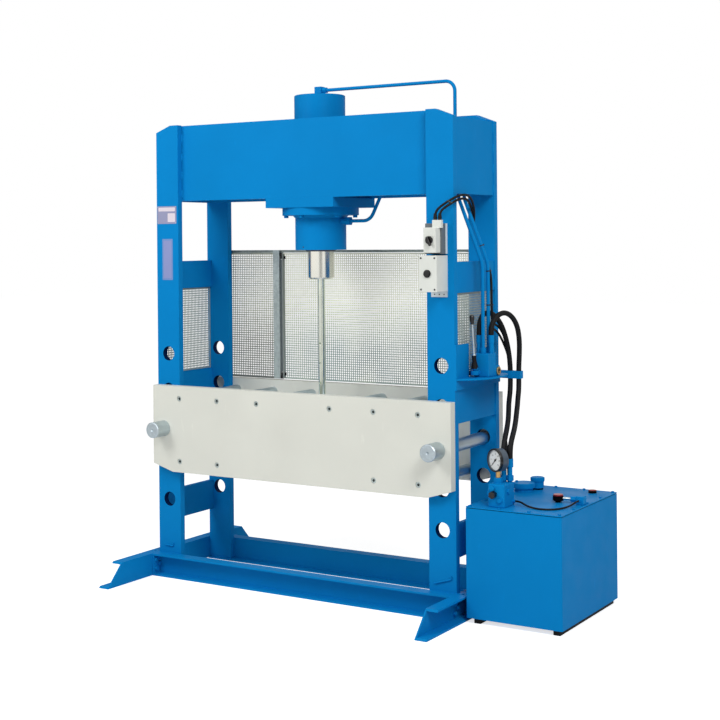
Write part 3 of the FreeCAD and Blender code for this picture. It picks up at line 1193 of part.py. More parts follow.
def relief_valve():
    """Small valve block on the lid with nut, stem, the round housing at the stem's end, and a hose union."""
    x, y = RELIEF_XY
    half = RELIEF_BLOCK / 2
    block = box((x - half, x + half), (y - half, y + half), (LID_TOP, LID_TOP + RELIEF_BLOCK))
    block = block.makeChamfer(3.0, block.Edges)
    across, length = RELIEF_NUT
    nut = hexagon(across, (x - half - length, y, RELIEF_Z), X_AXIS, length + 4)
    stem = cyl(RELIEF_STEM_R, (SENSOR_X, y, RELIEF_Z), X_AXIS, x - half - SENSOR_X)
    union = cyl(UNION_R, (x, y - half - UNION_L, RELIEF_Z), Y_AXIS, UNION_L + 2)
    low, high = SENSOR_Z
    foot = cyl(SENSOR_FOOT_R, (SENSOR_X, y, LID_TOP), Z_AXIS, low - LID_TOP)
    housing = cyl(SENSOR_R, (SENSOR_X, y, low), Z_AXIS, high - low)
    radius, depth = SPIGOT
    hole = cyl(radius + SLIDE_CLEAR, (SENSOR_X, y, high - depth - 1), Z_AXIS, depth + 1)
    return block.fuse([nut, stem, union, foot, housing]).cut(hole)


def relief_cap():
    """Round cap that screws into the housing at the end of the relief valve's stem."""
    y = RELIEF_XY[1]
    foot = SENSOR_Z[1] + SEAT_GAP
    cap = cyl(SENSOR_CAP_R, (SENSOR_X, y, foot), Z_AXIS, SENSOR_CAP_TOP - foot)
    cap = cap.makeChamfer(2.0, [e for e in cap.Edges if e.BoundBox.ZMin > SENSOR_CAP_TOP - 1])
    radius, depth = SPIGOT
    return cap.fuse(cyl(radius, (SENSOR_X, y, foot - depth), Z_AXIS, depth))


# Hand-chosen route of the thin hose that lies on the lid, from the manifold to the relief valve.
PILOT_START = (MANIFOLD_X[1] + UNION_L, -149, 576)
PILOT_Z = LID_TOP + PILOT_R + 0.3
PILOT_HOSE = [PILOT_START, (297, -149, 576), (330, -166, 566), (378, -190, PILOT_Z),
              (428, -204, PILOT_Z + 0.4), (476, -187, PILOT_Z), (509, -140, PILOT_Z + 0.4), (531, -84, 568),
              (RELIEF_XY[0], -38, RELIEF_Z),
              (RELIEF_XY[0], RELIEF_XY[1] - RELIEF_BLOCK / 2 - UNION_L, RELIEF_Z)]


# ---- all pieces ----------------------------------------------------------------------------------------
def press_pieces():
    """Pieces of the press, about the cylinder axis."""
    front_right = upright()
    front_plate = table_plate()
    sill = front_sill()
    right_foot = foot()
    beam = beam_plate()
    webs = side_webs()
    pin = table_pin()
    right_guard = side_guard()
    return {
        "front_right_upright": front_right,
        "front_left_upright": mirror_x(front_right),
        "rear_right_upright": mirror_y(front_right),
        "rear_left_upright": mirror_x(mirror_y(front_right)),
        "column_webs": group(webs + [mirror_x(w) for w in webs]),
        "beam_plates": group([beam, mirror_y(beam)]),
        "cylinder_mount": cylinder_mount(),
        "cylinder_barrel": cylinder_barrel(),
        "cylinder_head": cylinder_head(),
        "flange_bolts": flange_bolts(),
        "ram": ram(),
        "piston_seal": piston_seal(),
        "lifting_rod": lifting_rod(),
        "base_sills": group([sill, mirror_y(sill)]),
        "right_foot": right_foot,
        "left_foot": mirror_x(right_foot),
        "base_bolts": base_bolts(),
        "table_front_plate": front_plate,
        "table_rear_plate": mirror_y(front_plate),
        "table_spacers": table_spacers(),
        "table_screws": table_screws(),
        "right_table_pin": pin,
        "left_table_pin": mirror_x(pin),
        "guard_frame": guard_frame(),
        "fixed_guard": fixed_guard(),
        "guard_door": guard_door(),
        "side_guards": group([right_guard, mirror_x(right_guard)]),
        "upper_pipe": upper_pipe(),
        "lower_pipe": lower_pipe(),
    }


def side_pieces():
    """Pieces of valve, electrics and power unit, with X from the outer face of the right uprights."""
    return {
        "valve_bracket": valve_bracket(),
        "valve_body": valve_body(),
        "valve_lever": valve_lever(),
        "lever_knob": lever_knob(),
        "lever_boot": lever_boot(),
        "hose_fittings": hose_fittings(),
        "return_hose": cord("return hose", RETURN_HOSE, HOSE_R),
        "pressure_hose": cord("pressure hose", PRESSURE_HOSE, HOSE_R),
        "switch_base": switch_base(),
        "switch_box": switch_box(),
        "switch_knob": switch_knob(),
        "control_box": control_box(),
        "push_button": push_button(),
        "motor_cable": cord("motor cable", MOTOR_CABLE, CABLE_R),
        "control_cable": cord("control cable", CONTROL_CABLE, CABLE_R),
        "cable_glands": cable_glands(),
        "tank": tank(),
        "tank_lid": tank_lid(),
        "lid_bolts": lid_bolts(),
        "tank_runners": tank_runners(),
        "manifold": manifold(),
        "pressure_setter": pressure_setter(),
        "gauge_case": gauge_case(),
        "gauge_needle": gauge_needle(),
        "oil_motor": oil_motor(),
        "gear_pump": gear_pump(),
        "return_filter": return_filter(),
        "breather": breather(),
        "relief_valve": relief_valve(),
        "relief_cap": relief_cap(),
        "pilot_hose": cord("pilot hose", PILOT_HOSE, PILOT_R),
    }


def main():
    """Move every piece to the common origin and write it."""
    os.makedirs("parts", exist_ok=True)
    pieces = press_pieces()
    for name, shape in side_pieces().items():
        pieces[name] = beside(shape)
    for name, shape in pieces.items():
        shape = shape.translated(V(-CENTRE_X, -CENTRE_Y, 0))
        for solid in shape.Solids:
            if not solid.isValid() or solid.Volume <= 0:
                raise ValueError("bad solid in " + name)
        shape.exportStep("parts/%s.step" % name)


main()
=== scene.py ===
"""Looks of the hydraulic workshop press.

Camera, light, cords, sheet-metal guards, finishes and small details. Lengths are metres. Places are about
the cylinder's axis, as in the part's own source, and at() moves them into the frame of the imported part.
"""
import json
import math

import bmesh
import bpy
from mathutils import Matrix, Vector


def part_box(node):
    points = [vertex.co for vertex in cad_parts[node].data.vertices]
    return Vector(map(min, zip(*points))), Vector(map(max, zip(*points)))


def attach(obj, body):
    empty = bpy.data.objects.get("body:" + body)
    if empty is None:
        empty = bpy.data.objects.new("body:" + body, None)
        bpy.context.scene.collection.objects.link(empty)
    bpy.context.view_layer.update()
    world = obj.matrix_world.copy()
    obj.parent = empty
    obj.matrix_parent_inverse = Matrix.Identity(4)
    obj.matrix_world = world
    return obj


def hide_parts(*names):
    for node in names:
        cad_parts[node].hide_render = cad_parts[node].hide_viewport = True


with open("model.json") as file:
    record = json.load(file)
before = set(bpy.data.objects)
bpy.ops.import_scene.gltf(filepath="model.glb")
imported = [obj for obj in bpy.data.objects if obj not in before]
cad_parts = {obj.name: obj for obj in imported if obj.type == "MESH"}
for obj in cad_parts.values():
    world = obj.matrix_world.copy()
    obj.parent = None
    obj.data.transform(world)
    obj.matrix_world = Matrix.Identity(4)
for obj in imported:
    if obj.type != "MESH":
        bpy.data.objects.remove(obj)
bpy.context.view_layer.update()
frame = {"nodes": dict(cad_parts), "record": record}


# ---- frame of reference ----
barrel_low, barrel_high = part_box("cylinder_barrel")
CYLINDER = (barrel_low + barrel_high) / 2
CYLINDER.z = 0.0


def at(x, y, z):
    """Point about the cylinder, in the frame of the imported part."""
    return Vector((x, y, z)) + CYLINDER


def new_object(name, data):
    """Object in the scene for a mesh, a curve, a lamp or a camera."""
    made = bpy.data.objects.new(name, data)
    bpy.context.scene.collection.objects.link(made)
    return made


# ---- camera, light and floor ----
IMAGE_SIDE = 720
SENSOR = 36.0
FOCAL_PIXELS = 1383.4
HORIZON_PIXEL = 239.0
CAMERA_PLACE = at(4.0436, -6.1751, 1.8376)
CAMERA_TURN = math.radians(31.6)
CAMERA_ROLL = math.radians(-0.5)


def add_camera():
    """Camera of the photograph: looks level, with a vertical shift and a slight roll."""
    data = bpy.data.cameras.new("camera")
    data.sensor_width = SENSOR
    data.lens = FOCAL_PIXELS / IMAGE_SIDE * SENSOR
    data.shift_y = (HORIZON_PIXEL - IMAGE_SIDE / 2) / IMAGE_SIDE
    camera = new_object("camera", data)
    turn = Matrix.Rotation(CAMERA_TURN, 4, "Z")
    level = Matrix.Rotation(math.radians(90), 4, "X")
    roll = Matrix.Rotation(CAMERA_ROLL, 4, "Z")
    camera.matrix_world = Matrix.Translation(CAMERA_PLACE) @ turn @ level @ roll
    bpy.context.scene.camera = camera


def feed(tree, value, socket):
    """Give a socket its value, which is fixed or comes from another socket."""
    if isinstance(value, bpy.types.NodeSocket):
        tree.links.new(value, socket)
    else:
        socket.default_value = value


def add_node(tree, kind, **inputs):
    """New shader node with some of its inputs set; an underscore stands for a space in an input's name."""
    node = tree.nodes.new("ShaderNode" + kind)
    for name, value in inputs.items():
        feed(tree, value, node.inputs[name.replace("_", " ")])
    return node


def calculate(tree, operation, *values, kind="Math", output=0):
    """Result of one operation on values, each fixed or a socket."""
    node = add_node(tree, kind)
    node.operation = operation
    for value, socket in zip(values, node.inputs):
        feed(tree, value, socket)
    return node.outputs[output]


def dot_product(tree, first, second):
    """How far two directions agree, each fixed or a socket."""
    return calculate(tree, "DOT_PRODUCT", first, second, kind="VectorMath", output="Value")


def remap(tree, value, low, high, start=0.0, end=1.0):
    """Value between low and high mapped to start to end."""
    node = add_node(tree, "MapRange", Value=value, From_Min=low, From_Max=high, To_Min=start, To_Max=end)
    return node.outputs[0]


WHITE = (1, 1, 1, 1)
WORLD_LIGHT = 0.4
DARK_BANDS = ((30, 9, 16, 0.35), (97, 22, 30, 0.3), (150, 26, 36, 0.5), (-110, 34, 46, 0.2))


def heading(azimuth):
    """Level direction at an angle from the front towards the right."""
    angle = math.radians(azimuth)
    return Vector((math.sin(angle), -math.cos(angle), 0))


def seen_directly(tree, path):
    """Socket that is 1 for rays from the camera, from gloss and through glass."""
    level = calculate(tree, "MAXIMUM", path.outputs["Is Camera Ray"], path.outputs["Is Glossy Ray"])
    return calculate(tree, "MAXIMUM", level, path.outputs["Is Transmission Ray"])


def room_in_gloss(tree, camera_ray):
    """Brightness of the surroundings: white with a few dark bands, which only polished metal shows.

    Each band has its azimuth, the half widths of its core and of its faded edge, and its tone.
    """
    direction = add_node(tree, "TexCoord").outputs["Generated"]
    level = 1.0
    for azimuth, core, edge, tone in DARK_BANDS:
        facing = dot_product(tree, direction, heading(azimuth))
        band = remap(tree, facing, math.cos(math.radians(edge)), math.cos(math.radians(core)), 1.0, tone)
        level = calculate(tree, "MULTIPLY", level, band)
    return calculate(tree, "MAXIMUM", level, camera_ray)


def add_world():
    """Even pale surroundings that light the press and show as white."""
    world = bpy.data.worlds.new("studio")
    world.use_nodes = True
    tree = world.node_tree
    tree.nodes.clear()
    path = add_node(tree, "LightPath")
    dim = add_node(tree, "Background", Color=WHITE, Strength=WORLD_LIGHT)
    room = room_in_gloss(tree, path.outputs["Is Camera Ray"])
    white = add_node(tree, "Background", Color=WHITE, Strength=room)
    mix = add_node(tree, "MixShader", Fac=seen_directly(tree, path))
    tree.links.new(dim.outputs[0], mix.inputs[1])
    tree.links.new(white.outputs[0], mix.inputs[2])
    add_node(tree, "OutputWorld", Surface=mix.outputs[0])
    bpy.context.scene.world = world


LAMPS = (("left_key", (-1.9, -3.6, 3.9), (0, 0, 1.6), 2.0, 84.0),
         ("right_key", (4.6, -3.4, 5.2), (0.6, 0, 1.2), 2.5, 190.0))


def add_lamps():
    """Square soft lamps, each with its place, the point that it faces, its side and its power in watts."""
    for name, place, target, side, power in LAMPS:
        data = bpy.data.lights.new(name, "AREA")
        data.size = side
        data.energy = power
        lamp = new_object(name, data)
        lamp.location = at(*place)
        lamp.rotation_euler = (at(*target) - at(*place)).to_track_quat("-Z", "Y").to_euler()


FLOOR_SIDE = 60.0
FLOOR_TONE = 0.86
FLOOR_GLOW = 0.68
FLOOR_GLOSS = 0.2


def add_floor():
    """Pale floor that keeps the shadow and shows as white, with a weaker glow for polished metal."""
    mesh = bpy.data.meshes.new("floor")
    half = FLOOR_SIDE / 2
    corners = [(-half, -half, 0), (half, -half, 0), (half, half, 0), (-half, half, 0)]
    mesh.from_pydata(corners, [], [(0, 1, 2, 3)])
    floor = new_object("floor", mesh)
    material = bpy.data.materials.new("floor")
    material.use_nodes = True
    tree = material.node_tree
    tree.nodes.clear()
    path = add_node(tree, "LightPath")
    shown = calculate(tree, "MULTIPLY", path.outputs["Is Camera Ray"], FLOOR_GLOW - FLOOR_GLOSS)
    level = calculate(tree, "MULTIPLY", seen_directly(tree, path), FLOOR_GLOSS)
    plain = add_node(tree, "BsdfDiffuse", Color=(FLOOR_TONE, FLOOR_TONE, FLOOR_TONE, 1))
    glow = add_node(tree, "Emission", Strength=calculate(tree, "ADD", shown, level))
    both = add_node(tree, "AddShader")
    tree.links.new(plain.outputs[0], both.inputs[0])
    tree.links.new(glow.outputs[0], both.inputs[1])
    add_node(tree, "OutputMaterial", Surface=both.outputs[0])
    mesh.materials.append(material)


# ---- materials ----
def linear(red, green, blue):
    """Colour as it looks on screen (0 to 255) as the linear values that shaders take."""
    values = []
    for channel in (red, green, blue):
        share = channel / 255
        values.append(share / 12.92 if share <= 0.04045 else ((share + 0.055) / 1.055) ** 2.4)
    return (*values, 1)


def shaded(colour, factor):
    """Colour made darker or lighter by a factor."""
    return (*(min(1.0, c * factor) for c in colour[:3]), 1)


class Surface:
    """Small builder for a procedural material around one shader."""

    def __init__(self, name, roughness, metallic=0.0, **inputs):
        self.material = bpy.data.materials.new(name)
        self.material.use_nodes = True
        self.tree = self.material.node_tree
        self.tree.nodes.clear()
        inputs.update(Roughness=roughness, Metallic=metallic)
        self.shader = add_node(self.tree, "BsdfPrincipled", **inputs)
        add_node(self.tree, "OutputMaterial", Surface=self.shader.outputs[0])
        self.place = add_node(self.tree, "TexCoord").outputs["Object"]
        self.normal = None

    def stretched(self, scale):
        """Coordinates scaled by three factors."""
        return add_node(self.tree, "Mapping", Vector=self.place, Scale=scale).outputs[0]

    def noise(self, scale, detail=3.0, place=None):
        """Noise value from 0 to 1."""
        place = place or self.place
        return add_node(self.tree, "TexNoise", Vector=place, Scale=scale, Detail=detail).outputs["Fac"]

    def ramp(self, value, low, high, start=0.0, end=1.0):
        """Value between low and high mapped to start to end."""
        return remap(self.tree, value, low, high, start, end)

    def blend(self, factor, first, second, kind="RGBA"):
        """Mix of two colours, or of two numbers, each fixed or a socket."""
        node = add_node(self.tree, "Mix")
        node.data_type = kind
        for name, value in (("Factor", factor), ("A", first), ("B", second)):
            feed(self.tree, value, node.inputs[name])
        return node.outputs["Result"]

    def soften_edges(self, radius):
        """Rounded look on sharp edges, and a mask that is 1 at them."""
        bevel = add_node(self.tree, "Bevel", Radius=radius)
        bevel.samples = 4
        self.normal = bevel.outputs[0]
        flat = add_node(self.tree, "NewGeometry").outputs["True Normal"]
        return self.ramp(dot_product(self.tree, self.normal, flat), 0.995, 0.85)

    def bump(self, height, depth, strength=1.0):
        """Relief from a height value, on top of any relief so far."""
        node = add_node(self.tree, "Bump", Height=height, Distance=depth, Strength=strength)
        if self.normal is not None:
            feed(self.tree, self.normal, node.inputs["Normal"])
        self.normal = node.outputs[0]

    def coordinates(self, place):
        """The three coordinates of a place."""
        return add_node(self.tree, "SeparateXYZ", Vector=place).outputs

    def inside(self, low, high):
        """1 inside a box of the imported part's frame, and 0 outside it."""
        offset = calculate(self.tree, "SUBTRACT", self.place, (low + high) / 2, kind="VectorMath")
        offset = calculate(self.tree, "ABSOLUTE", offset, kind="VectorMath")
        room = calculate(self.tree, "SUBTRACT", (high - low) / 2, offset, kind="VectorMath")
        room = self.coordinates(room)
        least = calculate(self.tree, "MINIMUM", room["X"], room["Y"])
        least = calculate(self.tree, "MINIMUM", least, room["Z"])
        return calculate(self.tree, "GREATER_THAN", least, 0.0)

    def finish(self, colour, roughness, spots=()):
        """Connect colour, roughness and relief to the shader.

        A spot is a box of the node that has another finish: low and high corner, colour, roughness, metal.
        """
        metal = None
        for low, high, tone, rough, metallic in spots:
            mask = self.inside(low, high)
            colour = self.blend(mask, colour, tone)
            roughness = self.blend(mask, roughness, rough, "FLOAT")
            if metallic:
                metal = mask if metal is None else calculate(self.tree, "MAXIMUM", metal, mask)
        linked = {"Base Color": colour, "Roughness": roughness, "Metallic": metal, "Normal": self.normal}
        for name, source in linked.items():
            if source is not None:
                feed(self.tree, source, self.shader.inputs[name])
        return self.material


def paint(name, colour, roughness=0.42, edge=0.0016, wear=1.2, gloss=0.3, tint=WHITE, spots=()):
    """Sprayed enamel: faint cloudiness, fine peel, scuffs, and edges where the coat is thinner."""
    surface = Surface(name, roughness, Specular_IOR_Level=gloss, Specular_Tint=tint)
    edges = surface.soften_edges(edge)
    clouds = surface.noise(2.3, 5.0)
    scuffs = surface.noise(26.0, 6.0, surface.stretched((1.0, 1.0, 0.35)))
    cloudy = surface.blend(surface.ramp(clouds, 0.35, 0.7), colour, shaded(colour, 0.93))
    scuffed = surface.blend(surface.ramp(scuffs, 0.64, 0.74, 0.0, 0.3), cloudy, shaded(colour, 1.14))
    worn = surface.blend(edges, scuffed, shaded(colour, wear))
    surface.bump(surface.noise(420.0, 2.0), 0.00022, 0.6)
    rough = surface.ramp(surface.noise(9.0, 4.0), 0.3, 0.7, roughness - 0.06, roughness + 0.08)
    return surface.finish(worn, rough, spots)


def machined(name, colour, roughness, scale=(1.0, 1.0, 1.0), edge=0.0008, spots=()):
    """Bare or plated steel with tool marks along one direction."""
    surface = Surface(name, roughness, 1.0)
    edges = surface.soften_edges(edge)
    marks = surface.noise(60.0, 4.0, surface.stretched(scale))
    stains = surface.noise(7.0, 5.0)
    base = surface.blend(surface.ramp(stains, 0.4, 0.75), colour, shaded(colour, 0.8))
    lined = surface.blend(surface.ramp(marks, 0.45, 0.7, 0.0, 0.35), base, shaded(colour, 1.25))
    worn = surface.blend(edges, lined, shaded(colour, 1.3))
    surface.bump(marks, 0.0001, 0.5)
    rough = surface.ramp(stains, 0.3, 0.75, roughness - 0.06, roughness + 0.1)
    return surface.finish(worn, rough, spots)


def hard_chrome():
    """Polished rod with a thin oil film."""
    surface = Surface("hard_chrome", 0.12, 1.0)
    film = surface.noise(5.0, 4.0, surface.stretched((1.0, 1.0, 0.15)))
    hairlines = surface.noise(500.0, 2.0, surface.stretched((1.0, 1.0, 0.05)))
    colour = surface.blend(surface.ramp(film, 0.35, 0.7), linear(252, 247, 230), linear(240, 240, 232))
    surface.bump(hairlines, 0.00001, 0.2)
    return surface.finish(colour, surface.ramp(film, 0.3, 0.7, 0.14, 0.2))


# Heights over which a sheet's lower part fades from its painted shade to its own tones.
SHADE_BELOW = (1.22, 1.50)


def galvanised(name, low, high, spots=(), shade_tones=None):
    """Zinc coated sheet with spangle between two tones; the last argument gives two darker tones for its
    lower part, which are painted shade.
    """
    surface = Surface(name, 0.45, 0.15)
    cells = add_node(surface.tree, "TexVoronoi", Vector=surface.place, Scale=85.0)
    grey = add_node(surface.tree, "SeparateColor", Color=cells.outputs["Color"]).outputs[0]
    spangle = surface.blend(surface.ramp(grey, 0.0, 1.0), low, high)
    if shade_tones:
        # Lower part in two darker tones: painted shade.
        lower = surface.blend(surface.ramp(grey, 0.0, 1.0), *shade_tones)
        height = surface.coordinates(surface.place)["Z"]
        spangle = surface.blend(surface.ramp(height, *SHADE_BELOW), lower, spangle)
    cloud = surface.blend(surface.ramp(surface.noise(4.0), 0.4, 0.7, 0.0, 0.5), spangle, shaded(low, 0.9))
    surface.bump(surface.noise(150.0), 0.0001, 0.4)
    return surface.finish(cloud, surface.ramp(grey, 0.0, 1.0, 0.4, 0.54), spots)


def rubber(name, tone, weave=0.0):
    """Matte black rubber, dusty in patches; weave gives the wrapped cover of a hose."""
    surface = Surface(name, 0.62, Specular_IOR_Level=0.2)
    dust = surface.noise(14.0, 5.0)
    dark = linear(tone, tone, tone + 2)
    dusty = linear(tone * 2, tone * 2, tone * 2)
    colour = surface.blend(surface.ramp(dust, 0.45, 0.8, 0.0, 0.5), dark, dusty)
    surface.bump(surface.noise(600.0, 2.0), 0.0002, 0.5)
    if weave:
        wraps = add_node(surface.tree, "TexWave", Vector=surface.place, Scale=weave, Distortion=0.6)
        wraps.bands_direction = "DIAGONAL"
        surface.bump(wraps.outputs["Fac"], 0.0003, 0.4)
    return surface.finish(colour, surface.ramp(dust, 0.3, 0.8, 0.5, 0.78))


def plastic(name, colour, roughness, grain=900.0, coat=0.0, spots=()):
    """Moulded plastic with fine grain."""
    surface = Surface(name, roughness, Coat_Weight=coat)
    edges = surface.soften_edges(0.0012)
    clouds = surface.noise(11.0, 4.0)
    tinted = surface.blend(surface.ramp(clouds, 0.35, 0.75), colour, shaded(colour, 0.92))
    worn = surface.blend(edges, tinted, shaded(colour, 1.15))
    surface.bump(surface.noise(grain, 2.0), 0.00015, 0.5)
    rough = surface.ramp(clouds, 0.3, 0.7, roughness - 0.05, roughness + 0.07)
    return surface.finish(worn, rough, spots)


BLUE = linear(10, 133, 203)
BLUE_GLOSS = (0.6, 0.85, 1.0, 1)
CREAM = linear(228, 229, 219)
BRASS = linear(208, 168, 112)
BLACK = linear(10, 10, 12)
SLATE = linear(70, 84, 98)
DARK = linear(52, 54, 56)
RED = linear(150, 28, 30)
STEEL = linear(196, 206, 210)
BOX = linear(226, 229, 222)


def blue_enamel(name, spots=()):
    """Blue enamel of the press, with spots of other finishes."""
    return paint(name, BLUE, gloss=0.03, tint=BLUE_GLOSS, spots=spots)


def spot(low, high, colour, roughness, metallic=0):
    """Box about the cylinder that has another finish."""
    return at(*low), at(*high), colour, roughness, metallic


COVER_SCREWS_X = (0.805, 0.879)
COVER_SCREWS_Z = (1.592, 1.743)
COVER_SCREW_R = 0.005


def box_spots():
    """Mounting strip, button ring and cover screws of the push-button box."""
    spots = [spot((0.8, -0.2465, 1.551), (0.892, -0.2415, 1.5799), STEEL, 0.4, 1),
             spot((0.82, -0.361, 1.648), (0.86, -0.3542, 1.688), BLACK, 0.35)]
    for x in COVER_SCREWS_X:
        for z in COVER_SCREWS_Z:
            spots.append(spot((x - COVER_SCREW_R, -0.357, z - COVER_SCREW_R),
                              (x + COVER_SCREW_R, -0.3542, z + COVER_SCREW_R), DARK, 0.4))
    return spots


SOCKET_RIM = Vector((0, 0.0006, 0))
SOCKET_SHADE = linear(104, 112, 110)


def socket_spot():
    """Painted shade inside the table screws' sockets and round their heads, behind the front of their
    heads.
    """
    low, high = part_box("table_screws")
    return low + SOCKET_RIM, high - SOCKET_RIM, SOCKET_SHADE, 0.5, 0


UPRIGHTS = ("front_left_upright", "front_right_upright", "rear_left_upright", "rear_right_upright")
HOLE_MARGIN = Vector((0.034, 0.0006, 0))
HOLE_ROWS_Z = (0.2, 2.0)
HOLE_SHADE = linear(2, 30, 74)


def hole_spots():
    """Shaded walls of the pin holes, inside the thickness of each upright."""
    spots = []
    for node in UPRIGHTS:
        low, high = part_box(node)
        low, high = low + HOLE_MARGIN, high - HOLE_MARGIN
        low.z, high.z = HOLE_ROWS_Z
        spots.append((low, high, HOLE_SHADE, 0.6, 0))
    return spots


blue_paint = blue_enamel("blue_enamel")
upright_paint = blue_enamel("upright_enamel", hole_spots())
dark_paint = paint("dark_enamel", linear(104, 112, 117), 0.45)
zinc = machined("zinc_steel", linear(192, 204, 210), 0.36, (1.0, 0.05, 1.0))
black_steel = machined("black_steel", linear(38, 38, 42), 0.42)
iron = machined("cast_iron", linear(92, 94, 98), 0.6)
sheet_zinc = galvanised("galvanised_sheet", linear(154, 167, 162), linear(172, 184, 179))
door_edge = spot((-0.4225, 0.23, 1.0), (-0.4195, 0.3, 1.8), linear(168, 174, 170), 0.5)
# The door and the fixed panel are darker towards the bottom: their last two tones are painted shade.
door_zinc = galvanised("door_zinc", linear(232, 236, 216), linear(244, 246, 230), [door_edge],
                       (linear(146, 164, 163), linear(160, 176, 175)))
fixed_zinc = galvanised("fixed_zinc", linear(196, 200, 184), linear(212, 214, 200), (),
                        (linear(118, 122, 118), linear(134, 138, 134)))
hose_rubber = rubber("hose_rubber", 15, 260.0)
soft_rubber = rubber("soft_rubber", 13)
black_plastic = plastic("black_plastic", BLACK, 0.3)
box_plastic = plastic("box_plastic", BOX, 0.42)

SLOT_MATERIALS = {
    "blue_paint": blue_paint,
    "cream_paint": paint("cream_enamel", CREAM, 0.5, 0.0018, 1.06),
    "galvanised": sheet_zinc,
    "zinc_steel": zinc,
    "black_steel": black_steel,
    "chrome_rod": hard_chrome(),
    "cast_iron": iron,
    "bronze": machined("bronze", linear(176, 132, 78), 0.35),
    "black_rubber": soft_rubber,
    "black_plastic": black_plastic,
    "grey_plastic": box_plastic,
    "dark_grey": dark_paint,
}
HINGE_SPOTS = [spot((-0.4418, 0.24, z), (-0.42, 0.27, z + 0.0182), BLACK, 0.4) for z in (1.0519, 1.7459)]
NODE_MATERIALS = {
    **dict.fromkeys(UPRIGHTS, upright_paint),
    "relief_cap": plastic("red_plastic", RED, 0.3),
    "lid_bolts": blue_paint,
    "flange_bolts": blue_paint,
    "base_bolts": blue_paint,
    "lifting_rod": machined("rod_steel", linear(240, 247, 232), 0.2, (1.0, 1.0, 0.1)),
    # Dark iron in place of the head's bronze: the dark line that it gives under the barrel is painted
    # shade.
    "cylinder_head": iron,
    "table_screws": machined("screw_zinc", linear(192, 204, 202), 0.3, spots=[socket_spot()]),
    # Light back strip of the switch base next to the upright; on the base's side the dark grey in front of
    # it stands in for the shadow of the box (painted shadow).
    "switch_base": paint("switch_base", linear(104, 112, 117), 0.45, spots=[
        spot((0.79, -0.262, 1.755), (0.9, -0.2415, 1.915), BOX, 0.45)]),
    "gauge_case": plastic("gauge_case", SLATE, 0.35, spots=[
        spot((1.11, -0.21, 0.689), (1.145, -0.175, 0.7195), BRASS, 0.3, 1)]),
    "valve_body": blue_enamel("valve_enamel", [
        spot((1.0302, -0.004, 1.157), (1.04, 0.04, 1.201), BRASS, 0.3, 1)]),
    "tank_lid": blue_enamel("lid_enamel", [
        spot((0.9, -0.4, 0.5477), (1.6, 0.5, 0.5512), BLACK, 0.6),
        spot((1.37, 0.305, 0.5564), (1.42, 0.353, 0.5695), BLACK, 0.35),
        spot((1.37, 0.305, 0.5695), (1.42, 0.353, 0.572), RED, 0.35)]),
    "relief_valve": blue_enamel("relief_enamel", [
        spot((1.3702, 0.008, 0.564), (1.4119, 0.036, 0.592), STEEL, 0.2, 1),
        spot((1.314, -0.008, 0.5562), (1.3709, 0.052, 0.5886), BLACK, 0.3)]),
    "breather": blue_enamel("breather_enamel", [
        spot((1.07, 0.26, 0.555), (1.15, 0.34, 0.5642), BLACK, 0.4)]),
    "control_box": plastic("control_box", BOX, 0.42, spots=box_spots()),
    "guard_frame": galvanised("frame_zinc", linear(168, 180, 178), linear(192, 203, 200), HINGE_SPOTS),
}


def dress_nodes():
    """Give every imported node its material: its own where it has several finishes, or its slot's."""
    for subpart in frame["record"]["subparts"]:
        node = frame["nodes"][subpart["node"]]
        own = NODE_MATERIALS.get(subpart["node"], SLOT_MATERIALS[subpart["material_slot"]])
        node.data.materials.clear()
        node.data.materials.append(own)


# ---- mesh helpers ----
BLOCK_FACES = ((0, 1, 3, 2), (4, 6, 7, 5), (0, 4, 5, 1), (2, 3, 7, 6), (0, 2, 6, 4), (1, 5, 7, 3))
RIGHT = Vector((1, 0, 0))
BACK = Vector((0, 1, 0))
UP = Vector((0, 0, 1))
TO_FRONT = Matrix.Rotation(math.radians(90), 4, "X")
TO_RIGHT = Matrix.Rotation(math.radians(90), 4, "Y")


def piece(name, build, material, body="frame", replaced=(), smooth=False):
    """Object from a bmesh, with its material and body, in place of the nodes that it stands for."""
    bmesh.ops.recalc_face_normals(build, faces=build.faces)
    mesh = bpy.data.meshes.new(name)
    build.to_mesh(mesh)
    build.free()
    if smooth:
        mesh.polygons.foreach_set("use_smooth", [True] * len(mesh.polygons))
    mesh.materials.append(material)
    made = new_object(name, mesh)
    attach(made, body)
    if replaced:
        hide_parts(*replaced)


def add_block(build, low, high, place=Matrix()):
    """Box between two corners, moved by a matrix."""
    corners = [build.verts.new(place @ Vector((x, y, z)))
               for x in (low[0], high[0]) for y in (low[1], high[1]) for z in (low[2], high[2])]
    for face in BLOCK_FACES:
        build.faces.new([corners[k] for k in face])


def add_frame(build, low, high, side, width):
    """Upright rectangular frame in the box between two corners: its side is 0 along x and 1 along y."""
    rise = Vector((0, 0, width))
    for axis, lower, upper in ((2, low, high), (side, low + rise, high - rise)):
        for start in (low[axis], high[axis] - width):
            first, last = lower.copy(), upper.copy()
            first[axis], last[axis] = start, start + width
            add_block(build, first, last)


def bridge(build, near, far):
    """Faces between two closed rings with the same number of corners."""
    count = len(near)
    for k in range(count):
        build.faces.new((near[k], near[(k + 1) % count], far[(k + 1) % count], far[k]))


def loft(build, rings):
    """Closed solid through rings with the same number of corners."""
    for near, far in zip(rings, rings[1:]):
        bridge(build, near, far)
    build.faces.new(rings[0])
    build.faces.new(rings[-1])


